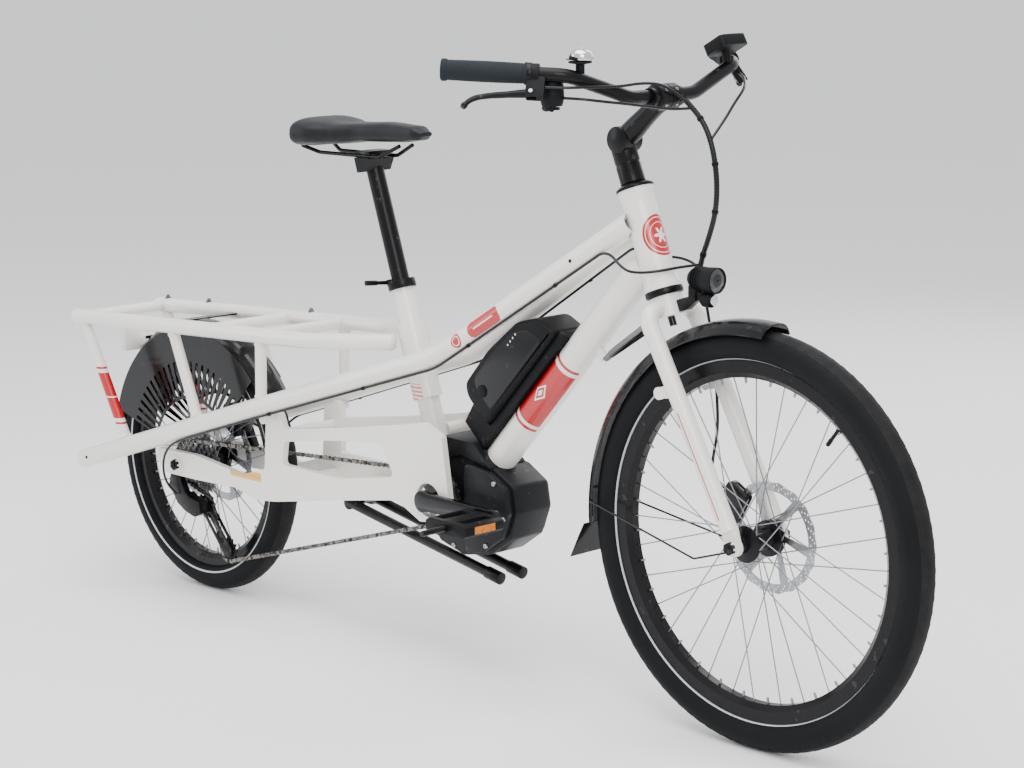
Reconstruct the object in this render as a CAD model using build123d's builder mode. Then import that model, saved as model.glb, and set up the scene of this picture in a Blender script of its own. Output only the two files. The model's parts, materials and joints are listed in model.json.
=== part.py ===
from build123d import *
import math
import os

os.makedirs("parts", exist_ok=True)

# Cargo bicycle with a mid drive and a long rear rack.
# Millimetres and degrees. +X is forward, +Y is the rider's left, +Z is up.
# The origin is on the ground, half way along the bicycle.

# ---------------------------------------------------------------- driving sizes
wheelbase = 1400.0
front_tyre_radius = 334.5
rear_tyre_radius = 258.0
tyre_section_radius = 27.0
rear_overhang = 285.0         # rack end behind the rear axle
head_angle = 68.5
fork_rake = 45.7
seat_angle = 71.8
bottom_bracket_forward = 722.0
bottom_bracket_height = 303.0

# clearances
weld_gap = 0.05               # between two tubes welded together
running_clearance = 0.05      # shaft in its hole
part_gap = 0.3                # between neighbours that only lie close

# wheels
rim_half_width = 15.0
rim_wall = 2.2
front_rim_inner = 258.0
rear_rim_inner = 188.0
tyre_wall = 3.4
spoke_radius = 1.0
spoke_count = 32
axle_radius = 6.0
rotor_thickness = 1.8
rotor_radius = 90.0
rotor_left = 35.0             # rotor's middle plane, left of the centre plane
front_dropout_inner = 50.0
front_dropout_outer = 58.0
rear_dropout_inner = 64.0
rear_dropout_outer = 76.0

# steering
head_tube_start = 404.0       # along the steering axis, from beside the front axle
head_tube_length = 166.0
head_tube_radius = 27.0
head_flare_radius = 30.0
steerer_radius = 14.3
lower_ring_height = 11.0
upper_ring_height = 9.0
stem_radius = 20.5
stem_height = 86.0
bar_radius = 11.1
bar_clamp_radius = 15.9
bar_clamp_forward = 1203.8    # from the rear axle
bar_clamp_height = 1014.0
fork_leg_side = 55.0
fork_leg_radius = 14.0
crown_drop = 18.0             # crown's middle, below the lower ring

# frame tubes
down_tube_radius = 27.5
down_tube_wall = 2.0
side_rail_radius = 18.5
side_rail_wall = 2.0
side_rail_side = 100.0
seat_tube_radius = 20.0
seatpost_radius = 15.8
rack_rail_radius = 14.5
rack_side = 100.0
stay_radius = 10.5
tube_wall = 1.8

# drive
chain_pitch = 12.7
chainring_teeth = 22
driven_cog_teeth = 21
pulley_teeth = 11
cog_teeth = [34, 30, 27, 24, 21, 18, 15, 13]
driven_cog = 4                # place of the driven cog in that list
cog_step = 4.2
cog_thickness = 1.8
chain_left = -45.0            # chain line, right of the centre plane
chain_half_width = 2.8
chain_half_height = 4.0
crank_length = 170.0
crank_inner = 80.0
crank_outer = 92.0
spindle_radius = 12.0
pedal_length = 98.0
pedal_width = 88.0
pedal_height = 24.0
pedal_inner = 104.0

total_length = rear_overhang + wheelbase + front_tyre_radius
rear_axle_x = -total_length / 2 + rear_overhang
front_axle_x = rear_axle_x + wheelbase
sin_head = math.sin(math.radians(head_angle))
cos_head = math.cos(math.radians(head_angle))


def at(forward, left, up):
    """A point given forward of the rear axle, left of the centre plane and above the ground."""
    return Vector(rear_axle_x + forward, left, up)


def steer(along, ahead=0.0, left=0.0):
    """A point given along the steering axis, ahead of it and left of it."""
    foot_x = front_axle_x - fork_rake / sin_head
    return Vector(
        foot_x - along * cos_head + ahead * sin_head,
        left,
        front_tyre_radius + along * sin_head + ahead * cos_head,
    )


steer_axis = Vector(-cos_head, 0, sin_head)
steer_ahead = Vector(sin_head, 0, cos_head)
front_axle = Vector(front_axle_x, 0, front_tyre_radius)
rear_axle = Vector(rear_axle_x, 0, rear_tyre_radius)
bottom_bracket = at(bottom_bracket_forward, 0, bottom_bracket_height)
left_way = Vector(0, 1, 0)


def write(piece, name):
    piece.part.label = name
    export_step(piece.part, f"parts/{name}.step")


def rod(start, end, radius, mode=Mode.ADD):
    """A round bar from start to end."""
    way = Vector(end) - Vector(start)
    with BuildSketch(Plane(origin=start, z_dir=way)) as disc:
        Circle(radius)
    extrude(disc.sketch, amount=way.length, mode=mode)


def turned(origin, way, profile, mode=Mode.ADD, arc=360):
    """A solid of revolution. The profile's points are (radius, distance along the axis)."""
    way = Vector(way).normalized()
    guide = Vector(1, 0, 0) if abs(way.X) < 0.9 else Vector(0, 0, 1)
    radial = (guide - way * guide.dot(way)).normalized()
    with BuildSketch(Plane(origin=origin, x_dir=radial, z_dir=radial.cross(way))) as outline:
        with BuildLine():
            Polyline(*profile, close=True)
        make_face()
    revolve(outline.sketch, axis=Axis(origin, way), revolution_arc=arc, mode=mode)


def tube_along(points, radii, outer, inner=0.0, mode=Mode.ADD):
    """A tube whose centre line is straight runs joined by arcs."""
    with BuildLine() as path:
        if len(points) == 2:
            Line(*points)
        else:
            FilletPolyline(*points, radius=radii)
    start = Plane(origin=path.line @ 0, z_dir=path.line % 0)
    with BuildSketch(start) as disc:
        Circle(outer)
    sweep(disc.sketch, path=path.line, mode=mode)
    if inner:
        with BuildSketch(start) as bore:
            Circle(inner)
        sweep(bore.sketch, path=path.line, mode=Mode.SUBTRACT)


def side_plane(left):
    """A plane parallel to the wheels, whose sketches are in (X, Z)."""
    return Plane(origin=(0, left, 0), x_dir=(1, 0, 0), z_dir=(0, -1, 0))


def plate(points, right, left, round_radius=0.0, mode=Mode.ADD):
    """A flat plate between two distances left of the centre plane, from (forward, up) points."""
    with BuildSketch(side_plane(left)) as outline:
        with BuildLine():
            Polyline(*[(rear_axle_x + x, z) for x, z in points], close=True)
        make_face()
        if round_radius:
            fillet(outline.vertices(), round_radius)
    extrude(outline.sketch, amount=left - right, mode=mode)


def cord_radii(points):
    """The arc radius for each corner of a cord's route."""
    radii = []
    for before, corner, after in zip(points, points[1:], points[2:]):
        first, second = Vector(corner) - Vector(before), Vector(after) - Vector(corner)
        turn = math.radians(first.get_angle(second))
        radii.append(0.45 * min(first.length, second.length) / math.tan(turn / 2))
    return radii


def cord(points, radius):
    """A cable or hose along its route."""
    print("cord radii", [round(arc) for arc in cord_radii(points)])
    tube_along(points, cord_radii(points), radius)


def axle(centre, nut_inner):
    """A fixed wheel axle with a nut on each end."""
    turned(centre, left_way, [
        (0, -nut_inner - 11), (9.5, -nut_inner - 8), (9.5, -nut_inner), (axle_radius, -nut_inner),
        (axle_radius, nut_inner), (9.5, nut_inner), (9.5, nut_inner + 8), (0, nut_inner + 11),
    ])


def flat(point):
    """A point's (forward, up) pair."""
    return (point.X - rear_axle_x, point.Z)


def mirrored(points):
    return [Vector(p.X, -p.Y, p.Z) for p in points]


# ================================================================ frame
head_foot = steer(head_tube_start)
with BuildPart() as head_tube:
    flare = 22.0
    turned(head_foot, steer_axis, [
        (steerer_radius + 4, 0), (head_flare_radius, 0), (head_flare_radius, 6),
        (head_tube_radius, flare), (head_tube_radius, head_tube_length - flare),
        (head_flare_radius - 1, head_tube_length - 5), (head_flare_radius - 1, head_tube_length),
        (steerer_radius + 4, head_tube_length),
    ])
write(head_tube, "head_tube")

with BuildPart() as headset_cups:
    cup_bore = steerer_radius + running_clearance
    lower_ring = steer(head_tube_start - lower_ring_height)
    upper_ring = steer(head_tube_start + head_tube_length)
    turned(lower_ring, steer_axis, [
        (cup_bore, 0), (head_flare_radius - 1, 0), (head_flare_radius + 1, 2),
        (head_flare_radius + 1, lower_ring_height), (cup_bore, lower_ring_height),
    ])
    turned(upper_ring, steer_axis, [
        (cup_bore, 0), (head_flare_radius + 1, 0), (head_flare_radius + 1, 4),
        (stem_radius + 2, upper_ring_height), (cup_bore, upper_ring_height),
    ])
write(headset_cups, "headset_cups")

down_low = at(824, 0, 378.7)
down_high = at(1150, 0, 729.6)
down_way = (down_high - down_low).normalized()
down_normal = Vector(-down_way.Z, 0, down_way.X)      # away from the tube, towards the saddle


def down(along, off, left=0.0):
    """A point given along the down tube and off its centre line, towards the saddle."""
    return down_low + down_way * along + down_normal * off + left_way * left


motor_top = [(690, 350), (706, 368), (770, 385), (840, 372), (893, 345)]
motor_outline = motor_top + [(900, 300), (882, 252), (832, 218), (765, 206), (705, 222), (676, 262),
                             (672, 320)]
motor_right = -34.0
motor_left = 44.0
stabiliser_along = 322.0
stabiliser_boss = 16.0
with BuildPart() as down_tube:
    rod(down_low, down_high, down_tube_radius)
    rod(down(4, 0), down(500, 0), down_tube_radius - down_tube_wall, mode=Mode.SUBTRACT)
    rod(down(stabiliser_along, -down_tube_radius + 1), down(stabiliser_along,
            -down_tube_radius - stabiliser_boss), 8.0)
    plate([(x, z + part_gap) for x, z in motor_outline], motor_right - 1, motor_left + 1,
          mode=Mode.SUBTRACT)
    rod(head_foot - steer_axis * 40, head_foot + steer_axis * 300,
        head_flare_radius + weld_gap, mode=Mode.SUBTRACT)
write(down_tube, "down_tube")

# side rails: from the head tube past the seat tube to the open tube ends behind the rear wheel
rail_points = [
    at(-279, -side_rail_side, 231.3), at(300, -side_rail_side, 415.4),
    at(719, -46, 548.8), at(1153, -19.5, 815),
]
rail_radii = [600.0, 420.0]
seat_collar = at(575.9, 0, 663.3)
seat_way = Vector(-math.cos(math.radians(seat_angle)), 0, math.sin(math.radians(seat_angle)))
seat_tube_length = 292.0
seat_gusset_radius = seat_tube_radius + 6.0
seat_low = seat_collar - seat_way * seat_tube_length
with BuildPart() as side_rails:
    for route in (rail_points, mirrored(rail_points)):
        tube_along(route, rail_radii, side_rail_radius, side_rail_radius - side_rail_wall)
    rod(head_foot - steer_axis * 40, head_foot + steer_axis * 300,
        head_flare_radius + weld_gap, mode=Mode.SUBTRACT)
    rod(seat_low - seat_way * 40, seat_collar + seat_way * 60, seat_gusset_radius + weld_gap,
        mode=Mode.SUBTRACT)
write(side_rails, "side_rails")

collar_height = 15.0
collar_radius = 25.0
with BuildPart() as seat_tube:
    rod(seat_low, seat_collar, seat_tube_radius)
    rod(seat_low + seat_way * 80, seat_low + seat_way * 215, seat_gusset_radius)
    rod(seat_low + seat_way * 20, seat_collar + seat_way * 10, seatpost_radius + running_clearance,
        mode=Mode.SUBTRACT)
write(seat_tube, "seat_tube")

with BuildPart() as seat_clamp:
    ring_low = seat_collar - seat_way * (collar_height - 1)
    rod(ring_low, ring_low + seat_way * collar_height, collar_radius)
    rod(ring_low + seat_way * (collar_height / 2) + Vector(-collar_radius + 3, -6, 0),
        ring_low + seat_way * (collar_height / 2) + Vector(-collar_radius + 3, 6, 0), 5.0)
    rod(seat_low, seat_collar, seat_tube_radius + weld_gap, mode=Mode.SUBTRACT)
    rod(seat_collar, seat_collar + seat_way * 5, seatpost_radius + 1.0, mode=Mode.SUBTRACT)
write(seat_clamp, "seat_clamp")

with BuildPart() as seat_lever:
    half = 5.0
    pin = ring_low + seat_way * (collar_height / 2) + Vector(-collar_radius - 8.4, 0, 0)
    rod(pin - seat_way * half, pin + seat_way * half, 5.5)
    rod(pin, pin + Vector(-7, -44, 3), 3.6)
    rod(pin + Vector(-7, -44, 3) * 0.6, pin + Vector(-7, -44, 3) * 1.1, 4.6)
write(seat_lever, "seat_lever")

# side plates: yoke behind the seat tube, chain stays and dropouts in one plate on each side
plate_outline = [
    (-70, 262), (-62, 282), (60, 284), (200, 268), (270, 290), (278, 388), (318, 404),
    (330, 374), (480, 396), (640, 424), (712, 438), (758, 420), (776, 300), (768, 270),
    (700, 262), (640, 290), (470, 262), (300, 232), (240, 226), (180, 240), (60, 236), (-40, 236),
]
plate_windows = [
    [(322, 306), (330, 350), (470, 372), (600, 386), (634, 330), (480, 304)],
]
spindle_hole = 30.0
with BuildPart() as stay_plates:
    plate(plate_outline, -rear_dropout_outer, -rear_dropout_inner, 6.0)
    for window in plate_windows:
        plate(window, -rear_dropout_outer - 1, -rear_dropout_inner + 1, 8.0, mode=Mode.SUBTRACT)
    rod(rear_axle - left_way * 100, rear_axle, axle_radius + running_clearance, mode=Mode.SUBTRACT)
    rod(bottom_bracket - left_way * 100, bottom_bracket, spindle_hole, mode=Mode.SUBTRACT)
    mirror(about=Plane.XZ)
    axle(rear_axle, rear_dropout_outer + part_gap)
write(stay_plates, "stay_plates")

kick_pivot = at(459, 0, 248)
bridge_inner = rear_dropout_inner - weld_gap
with BuildPart() as frame_bridges:
    # behind the seat tube, ahead of the tyre above and below, and over the stand
    for place, radius in ((at(604, 0, 398), 12.0), (at(300, 0, 355), 12.0), (at(305, 0, 262), 12.0)):
        rod(place - left_way * bridge_inner, place + left_way * bridge_inner, radius)
    plate([(420, 268), (500, 280), (500, 290), (420, 278)], -bridge_inner, bridge_inner)
    for side in (-1, 1):
        rod(at(663, side * (seat_tube_radius + weld_gap), 404), at(663, side * bridge_inner, 404), 14.0)
        rod(at(298, side * (rear_dropout_outer + weld_gap), 392), at(298, side * side_rail_side, 392),
            10.0)
    for route in (rail_points, mirrored(rail_points)):
        tube_along(route, rail_radii, side_rail_radius + weld_gap, mode=Mode.SUBTRACT)
write(frame_bridges, "frame_bridges")

# ---------------------------------------------------------------- motor and its bracket
def down_plate(points, half_width, mode=Mode.ADD, round_radius=0.0):
    """A block on the down tube, from (along, off) points."""
    with BuildSketch(Plane(origin=down(0, 0, half_width), x_dir=down_way, z_dir=-left_way)) as outline:
        with BuildLine():
            Polyline(*points, close=True)
        make_face()
        if round_radius:
            fillet(outline.vertices(), round_radius)
    extrude(outline.sketch, amount=2 * half_width, mode=mode)


battery_rail_start = 8.0
with BuildPart() as motor_bracket:
    plate([(x, z + part_gap) for x, z in motor_top[1:4]] + [(862, 372), (852, 392), (800, 410), (722,
            412), (704, 396)],
          -42, 42)
    rod(down_low - down_way * 60, down_high, down_tube_radius + weld_gap, mode=Mode.SUBTRACT)
    rod(seat_low - seat_way * 60, seat_collar, seat_gusset_radius + weld_gap, mode=Mode.SUBTRACT)
    rod(at(735, -60, 402), at(735, 60, 402), 5.0, mode=Mode.SUBTRACT)
    past = battery_rail_start - part_gap
    down_plate([(past, -100), (past, 200), (past + 400, 200), (past + 400, -100)], 60, mode=Mode.SUBTRACT)
write(motor_bracket, "motor_bracket")

cover_outline = [(786, 376), (840, 368), (886, 342), (893, 300), (876, 256), (830, 224), (786, 214)]
with BuildPart() as motor_housing:
    plate(motor_outline, motor_right, motor_left, 14.0)
    plate(cover_outline, motor_right - 17, motor_right - part_gap, 12.0)
    plate(cover_outline, motor_left + part_gap, motor_left + 10, 12.0)
    rod(bottom_bracket - left_way * 100, bottom_bracket + left_way * 100,
        spindle_radius + running_clearance, mode=Mode.SUBTRACT)
write(motor_housing, "motor_housing")

# ---------------------------------------------------------------- battery on the down tube
battery_rail_off = down_tube_radius
battery_off = battery_rail_off + 11.0
battery_half_width = 41.0


with BuildPart() as battery_rail:
    down_plate([(battery_rail_start, battery_rail_off - 6), (battery_rail_start, 84), (52, 92), (52,
            battery_off - part_gap),
                (300, battery_off - part_gap), (300, battery_rail_off - 6)], 30.0)
    rod(down(-20, 0), down(400, 0), down_tube_radius + weld_gap, mode=Mode.SUBTRACT)
write(battery_rail, "battery_rail")

with BuildPart() as battery:
    down_plate([(53, battery_off), (53, 104), (66, 124), (150, 126), (240, 112), (282, 84), (296,
            battery_off)],
               battery_half_width, round_radius=6.0)
    fillet(battery.edges().filter_by(lambda e: e.length > 70).group_by(SortBy.LENGTH)[-1], 4.0)
write(battery, "battery")

# ---------------------------------------------------------------- rear rack
rack_rail_points = [
    at(-rear_overhang, -rack_side, 521), at(440, -rack_side, 553), at(590, -36, 559.5),
]
seat_entry = seat_gusset_radius + weld_gap
with BuildPart() as rack_rails:
    for route in (rack_rail_points, mirrored(rack_rail_points)):
        tube_along(route, [120.0], rack_rail_radius, rack_rail_radius - tube_wall)
    rod(seat_low, seat_collar + seat_way * 60, seat_entry, mode=Mode.SUBTRACT)
    for side in (-1, 1):      # the rear ends are cut upright
        rod(at(-rear_overhang - 40, side * rack_side, 521), at(-rear_overhang, side * rack_side, 521),
            30.0,
            mode=Mode.SUBTRACT)
write(rack_rails, "rack_rails")


def rack_height(forward):
    return 521 + (forward + rear_overhang) * (553 - 521) / (440 + rear_overhang)


def rail_height(forward):
    return 231 + (forward + 280) * (415.4 - 231) / 580


# (forward at the rack, forward at the side rail)
stay_places = [(-262, -126), (30, 106), (300, 296)]
cross_places = (-262, 140, 300)
cross_radius = 11.0
with BuildPart() as rack_frame:
    for forward in cross_places:
        centre = at(forward, 0, rack_height(forward))
        rod(centre - left_way * rack_side, centre + left_way * rack_side, cross_radius)
    for side in (-1, 1):
        for top, foot in stay_places:
            high = at(top, side * rack_side, rack_height(top))
            low = at(foot, side * rack_side, rail_height(foot))
            rod(high, low, stay_radius)
    # the ends are coped to the tubes that they meet
    for route in (rack_rail_points, mirrored(rack_rail_points)):
        tube_along(route, [120.0], rack_rail_radius + weld_gap, mode=Mode.SUBTRACT)
    for route in (rail_points, mirrored(rail_points)):
        tube_along(route, rail_radii, side_rail_radius + weld_gap, mode=Mode.SUBTRACT)
write(rack_frame, "rack_frame")

# ================================================================ wheels
def build_tyre(centre, outer_radius):
    middle = outer_radius - tyre_section_radius
    with BuildPart() as tyre:
        with BuildSketch(Plane(origin=centre, x_dir=(1, 0, 0), z_dir=(0, 0, 1))) as section:
            with Locations((middle, 0)):
                Circle(tyre_section_radius)
                Circle(tyre_section_radius - tyre_wall, mode=Mode.SUBTRACT)
            with Locations((middle - tyre_section_radius, 0)):
                Rectangle(2 * tyre_section_radius - 6, 2 * (rim_half_width + part_gap),
                          mode=Mode.SUBTRACT)
        revolve(section.sketch, axis=Axis(centre, left_way))
    return tyre


def build_rim(centre, inner_radius, flange_radius):
    with BuildPart() as rim:
        turned(centre, left_way, [
            (inner_radius, -7), (inner_radius, 7), (inner_radius + 9, rim_half_width),
            (flange_radius, rim_half_width), (flange_radius, rim_half_width - rim_wall),
            (flange_radius - 9, rim_half_width - rim_wall), (flange_radius - 9,
                    -rim_half_width + rim_wall),
            (flange_radius, -rim_half_width + rim_wall), (flange_radius, -rim_half_width),
            (inner_radius + 9, -rim_half_width),
        ])
        turned(centre, left_way, [
            (inner_radius + rim_wall, -6), (inner_radius + rim_wall, 6),
            (inner_radius + 10, rim_half_width - rim_wall),
            (flange_radius - 9 - rim_wall, rim_half_width - rim_wall),
            (flange_radius - 9 - rim_wall, -rim_half_width + rim_wall),
            (inner_radius + 10, -rim_half_width + rim_wall),
        ], mode=Mode.SUBTRACT)
    return rim


def build_spokes(centre, hub_radius, flange_left, flange_right, rim_radius):
    """Crossed spokes: each flange holds half of them, leaning both ways by turns."""
    cross = 52.0
    lift = 1.5
    with BuildPart() as spokes:
        for number in range(spoke_count):
            side = 1 if number % 2 else -1
            lean = 1 if (number // 2) % 2 else -1
            flange = flange_left if side > 0 else flange_right
            rim_angle = math.radians(360 / spoke_count * number)
            hub_angle = rim_angle + math.radians(lean * cross)
            start = centre + Vector(hub_radius * math.cos(hub_angle), flange + lean * lift,
                                    hub_radius * math.sin(hub_angle))
            end = centre + Vector(rim_radius * math.cos(rim_angle), side * 2.6 + lean * lift,
                                  rim_radius * math.sin(rim_angle))
            rod(start, end, spoke_radius)
    return spokes


def build_rotor(centre):
    arm_count = 6
    with BuildPart() as rotor:
        with BuildSketch(side_plane(rotor_left + rotor_thickness / 2)) as disc:
            with Locations((centre.X, centre.Z)):
                Circle(rotor_radius)
                Circle(rotor_radius - 15, mode=Mode.SUBTRACT)
                Circle(25)
                with PolarLocations(0, arm_count):
                    with Locations((50, 0)):
                        Rectangle(58, 9)
                Circle(16, mode=Mode.SUBTRACT)
        extrude(disc.sketch, amount=rotor_thickness)
    return rotor


tyre_bead = math.sqrt(tyre_section_radius**2 - rim_half_width**2)
flange_radius = 29.0
hub_bore = axle_radius + running_clearance
rotor_seat = rotor_left - rotor_thickness / 2 - part_gap

front_tyre = build_tyre(front_axle, front_tyre_radius)
write(front_tyre, "front_tyre")
front_flange = front_tyre_radius - tyre_section_radius - tyre_bead + 1.5
front_rim = build_rim(front_axle, front_rim_inner, front_flange)
write(front_rim, "front_rim")
front_spokes = build_spokes(front_axle, flange_radius + 1.3, 25.0, -27.5, front_rim_inner - part_gap)
write(front_spokes, "front_spokes")
front_rotor = build_rotor(front_axle)
write(front_rotor, "front_rotor")
with BuildPart() as front_hub:
    turned(front_axle, left_way, [
        (hub_bore, -47), (11, -47), (13, -34), (flange_radius, -29), (flange_radius, -26), (18, -22),
        (15, -8), (15, 8), (18, 20), (flange_radius, 23.5), (flange_radius, 26.5), (22, 28),
        (22, rotor_seat), (15.8, rotor_seat), (15.8, 40), (11, 44), (11, 47), (hub_bore, 47),
    ])
write(front_hub, "front_hub")
rear_tyre = build_tyre(rear_axle, rear_tyre_radius)
write(rear_tyre, "rear_tyre")
rear_flange = rear_tyre_radius - tyre_section_radius - tyre_bead + 1.5
rear_rim = build_rim(rear_axle, rear_rim_inner, rear_flange)
write(rear_rim, "rear_rim")
rear_spokes = build_spokes(rear_axle, flange_radius + 1.3, 25.0, -17.5, rear_rim_inner - part_gap)
write(rear_spokes, "rear_spokes")
rear_rotor = build_rotor(rear_axle)
write(rear_rotor, "rear_rotor")
stub_radius = 12.0
with BuildPart() as rear_hub:
    turned(rear_axle, left_way, [
        (hub_bore, -61), (stub_radius, -61), (stub_radius, -21), (flange_radius, -19), (flange_radius,
                -16), (20, -13),
        (17, -4), (17, 8), (20, 20), (flange_radius, 23.5), (flange_radius, 26.5), (22, 28),
        (22, rotor_seat), (15.8, rotor_seat), (15.8, 44), (11, 50), (11, 61), (hub_bore, 61),
    ])
write(rear_hub, "rear_hub")

# ---------------------------------------------------------------- cassette, chain and chainring
def pitch_radius(teeth):
    return chain_pitch * teeth / (2 * math.pi)


tooth_height = 3.4
cassette_right = chain_left - (len(cog_teeth) - 1 - driven_cog) * cog_step
with BuildPart() as cassette:
    turned(rear_axle, left_way, [
        (stub_radius + 0.08, cassette_right - 3), (15.5, cassette_right - 3),
        (15.5, chain_left + driven_cog * cog_step + 1.5),
        (stub_radius + 0.08, chain_left + driven_cog * cog_step + 1.5),
    ])
    for place, teeth in enumerate(cog_teeth):
        middle = chain_left + (driven_cog - place) * cog_step
        # the driven cog ends inside the chain, which has the teeth's room
        radius = pitch_radius(teeth) + (tooth_height if place != driven_cog else -chain_half_height - part_gap)
        turned(rear_axle, left_way, [
            (14, middle - cog_thickness / 2), (radius, middle - cog_thickness / 2),
            (radius, middle + cog_thickness / 2), (14, middle + cog_thickness / 2),
        ])
write(cassette, "cassette")

guide_pulley_centre = at(46, chain_left, 178)
tension_pulley_centre = at(114, chain_left, 102)
# wheels in the order in which the chain meets them: centre, pitch radius, sense (-1 is clockwise from the right)
chain_wheels = [
    (at(0, chain_left, rear_tyre_radius), pitch_radius(driven_cog_teeth), -1),
    (at(bottom_bracket_forward, chain_left, bottom_bracket_height), pitch_radius(chainring_teeth), -1),
    (tension_pulley_centre, pitch_radius(pulley_teeth), -1),
    (guide_pulley_centre, pitch_radius(pulley_teeth), 1),
]


def chain_loop(grow):
    """The chain's closed outline, moved outwards by grow, as lines and arcs in (X, Z)."""
    signed = [sense * radius - grow for _, radius, sense in chain_wheels]
    centres = [Vector(c.X, c.Z) for c, _, _ in chain_wheels]
    leave, arrive = [], []
    for number in range(len(centres)):
        after = (number + 1) % len(centres)
        way = centres[after] - centres[number]
        angle = math.atan2(way.Y, way.X) - math.asin((signed[after] - signed[number]) / way.length)
        normal = Vector(-math.sin(angle), math.cos(angle))
        leave.append(centres[number] - normal * signed[number])
        arrive.append(centres[after] - normal * signed[after])
    for number in range(len(centres)):
        after = (number + 1) % len(centres)
        Line(leave[number], arrive[number])
        start, end = arrive[number] - centres[after], leave[after] - centres[after]
        first, last = math.atan2(start.Y, start.X), math.atan2(end.Y, end.X)
        turn = (last - first) % (2 * math.pi)
        if chain_wheels[after][2] < 0:
            turn -= 2 * math.pi
        middle = first + turn / 2
        radius = abs(signed[after])
        ThreePointArc(arrive[number], centres[after] + Vector(math.cos(middle),
                math.sin(middle)) * radius,
                      leave[after])


with BuildPart() as chain:
    with BuildSketch(side_plane(chain_left + chain_half_width)) as band:
        with BuildLine():
            chain_loop(chain_half_height)
        make_face()
        with BuildLine():
            chain_loop(-chain_half_height)
        make_face(mode=Mode.SUBTRACT)
    extrude(band.sketch, amount=2 * chain_half_width)
write(chain, "chain")

with BuildPart() as chainring:
    ring_radius = pitch_radius(chainring_teeth) - chain_half_height - part_gap
    turned(bottom_bracket, left_way, [
        (spindle_radius + running_clearance, chain_left - 5), (22, chain_left - 5), (24,
                chain_left - 1.5),
        (ring_radius, chain_left - 1.5), (ring_radius, chain_left + 1.5), (24, chain_left + 1.5),
        (22, chain_left + 9), (spindle_radius + running_clearance, chain_left + 9),
    ])
    with BuildSketch(side_plane(chain_left + 1.5)) as holes:
        with Locations((bottom_bracket.X, bottom_bracket.Z)):
            with PolarLocations(31, 5):
                Circle(4)
    extrude(holes.sketch, amount=3, mode=Mode.SUBTRACT)
write(chainring, "chainring")


def build_pulley(centre):
    with BuildPart() as pulley:
        radius = pitch_radius(pulley_teeth) - chain_half_height - part_gap
        turned(centre, left_way, [
            (3.05, -3), (7, -3), (7, -1.2), (radius, -1.2), (radius, 1.2), (7, 1.2), (7, 3), (3.05, 3),
        ])
    return pulley


guide_pulley = build_pulley(guide_pulley_centre)
write(guide_pulley, "guide_pulley")
tension_pulley = build_pulley(tension_pulley_centre)
write(tension_pulley, "tension_pulley")

cage_gap = 4.2
cage_plate = 1.8
with BuildPart() as derailleur_cage:
    across = (tension_pulley_centre - guide_pulley_centre)
    middle = (tension_pulley_centre + guide_pulley_centre) / 2
    slope = math.degrees(math.atan2(across.Z, across.X))
    for low, high in ((-cage_gap - cage_plate, -cage_gap), (cage_gap, cage_gap + cage_plate)):
        with BuildSketch(side_plane(chain_left + high)) as link:
            with Locations(Location((middle.X, middle.Z), slope)):
                SlotOverall(across.length + 28, 28)
                SlotOverall(across.length - 34, 11, mode=Mode.SUBTRACT)
        extrude(link.sketch, amount=high - low)
    for centre in (guide_pulley_centre, tension_pulley_centre):
        rod(centre - left_way * (cage_gap + 1), centre + left_way * (cage_gap + 1), 3.0)
write(derailleur_cage, "derailleur_cage")

with BuildPart() as derailleur_body:
    body_right, body_left = -74.0, chain_left - cage_gap - cage_plate - part_gap
    plate([(-34, 214), (-26, 228), (0, 232), (16, 206), (30, 196), (44, 160), (14, 168), (-8, 180)],
          body_right, cassette_right - 3 - part_gap, 5.0)
    plate([(-6, 198), (16, 203), (30, 196), (60, 192), (64, 170), (44, 160), (14, 168), (-6, 179)],
          body_right, body_left, 3.0)
    plate([(-30, 222), (-24, 235.6), (4, 235.6), (8, 222)], -rear_dropout_outer + 0.4, body_right + 1)
write(derailleur_body, "derailleur_body")

# ---------------------------------------------------------------- cranks and pedals
with BuildPart() as cranks:
    rod(bottom_bracket - left_way * crank_outer, bottom_bracket + left_way * crank_outer, spindle_radius)
    for side in (-1, 1):
        boss = bottom_bracket + left_way * (side * crank_inner)
        end = boss + Vector(-side * crank_length, 0, 0)
        outward = left_way * (side * (crank_outer - crank_inner))
        rod(boss, boss + outward, 19.0)
        rod(end, end + outward, 14.0)
        low, high = sorted((side * crank_inner, side * crank_outer))
        ahead = bottom_bracket_forward - side * crank_length
        plate([(bottom_bracket_forward, bottom_bracket_height - 16), (bottom_bracket_forward,
                bottom_bracket_height + 16),
               (ahead, bottom_bracket_height + 12), (ahead, bottom_bracket_height - 12)], low, high)
        rod(end + outward, end + left_way * (side * (pedal_inner + 60)), 5.0)
write(cranks, "cranks")


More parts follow.
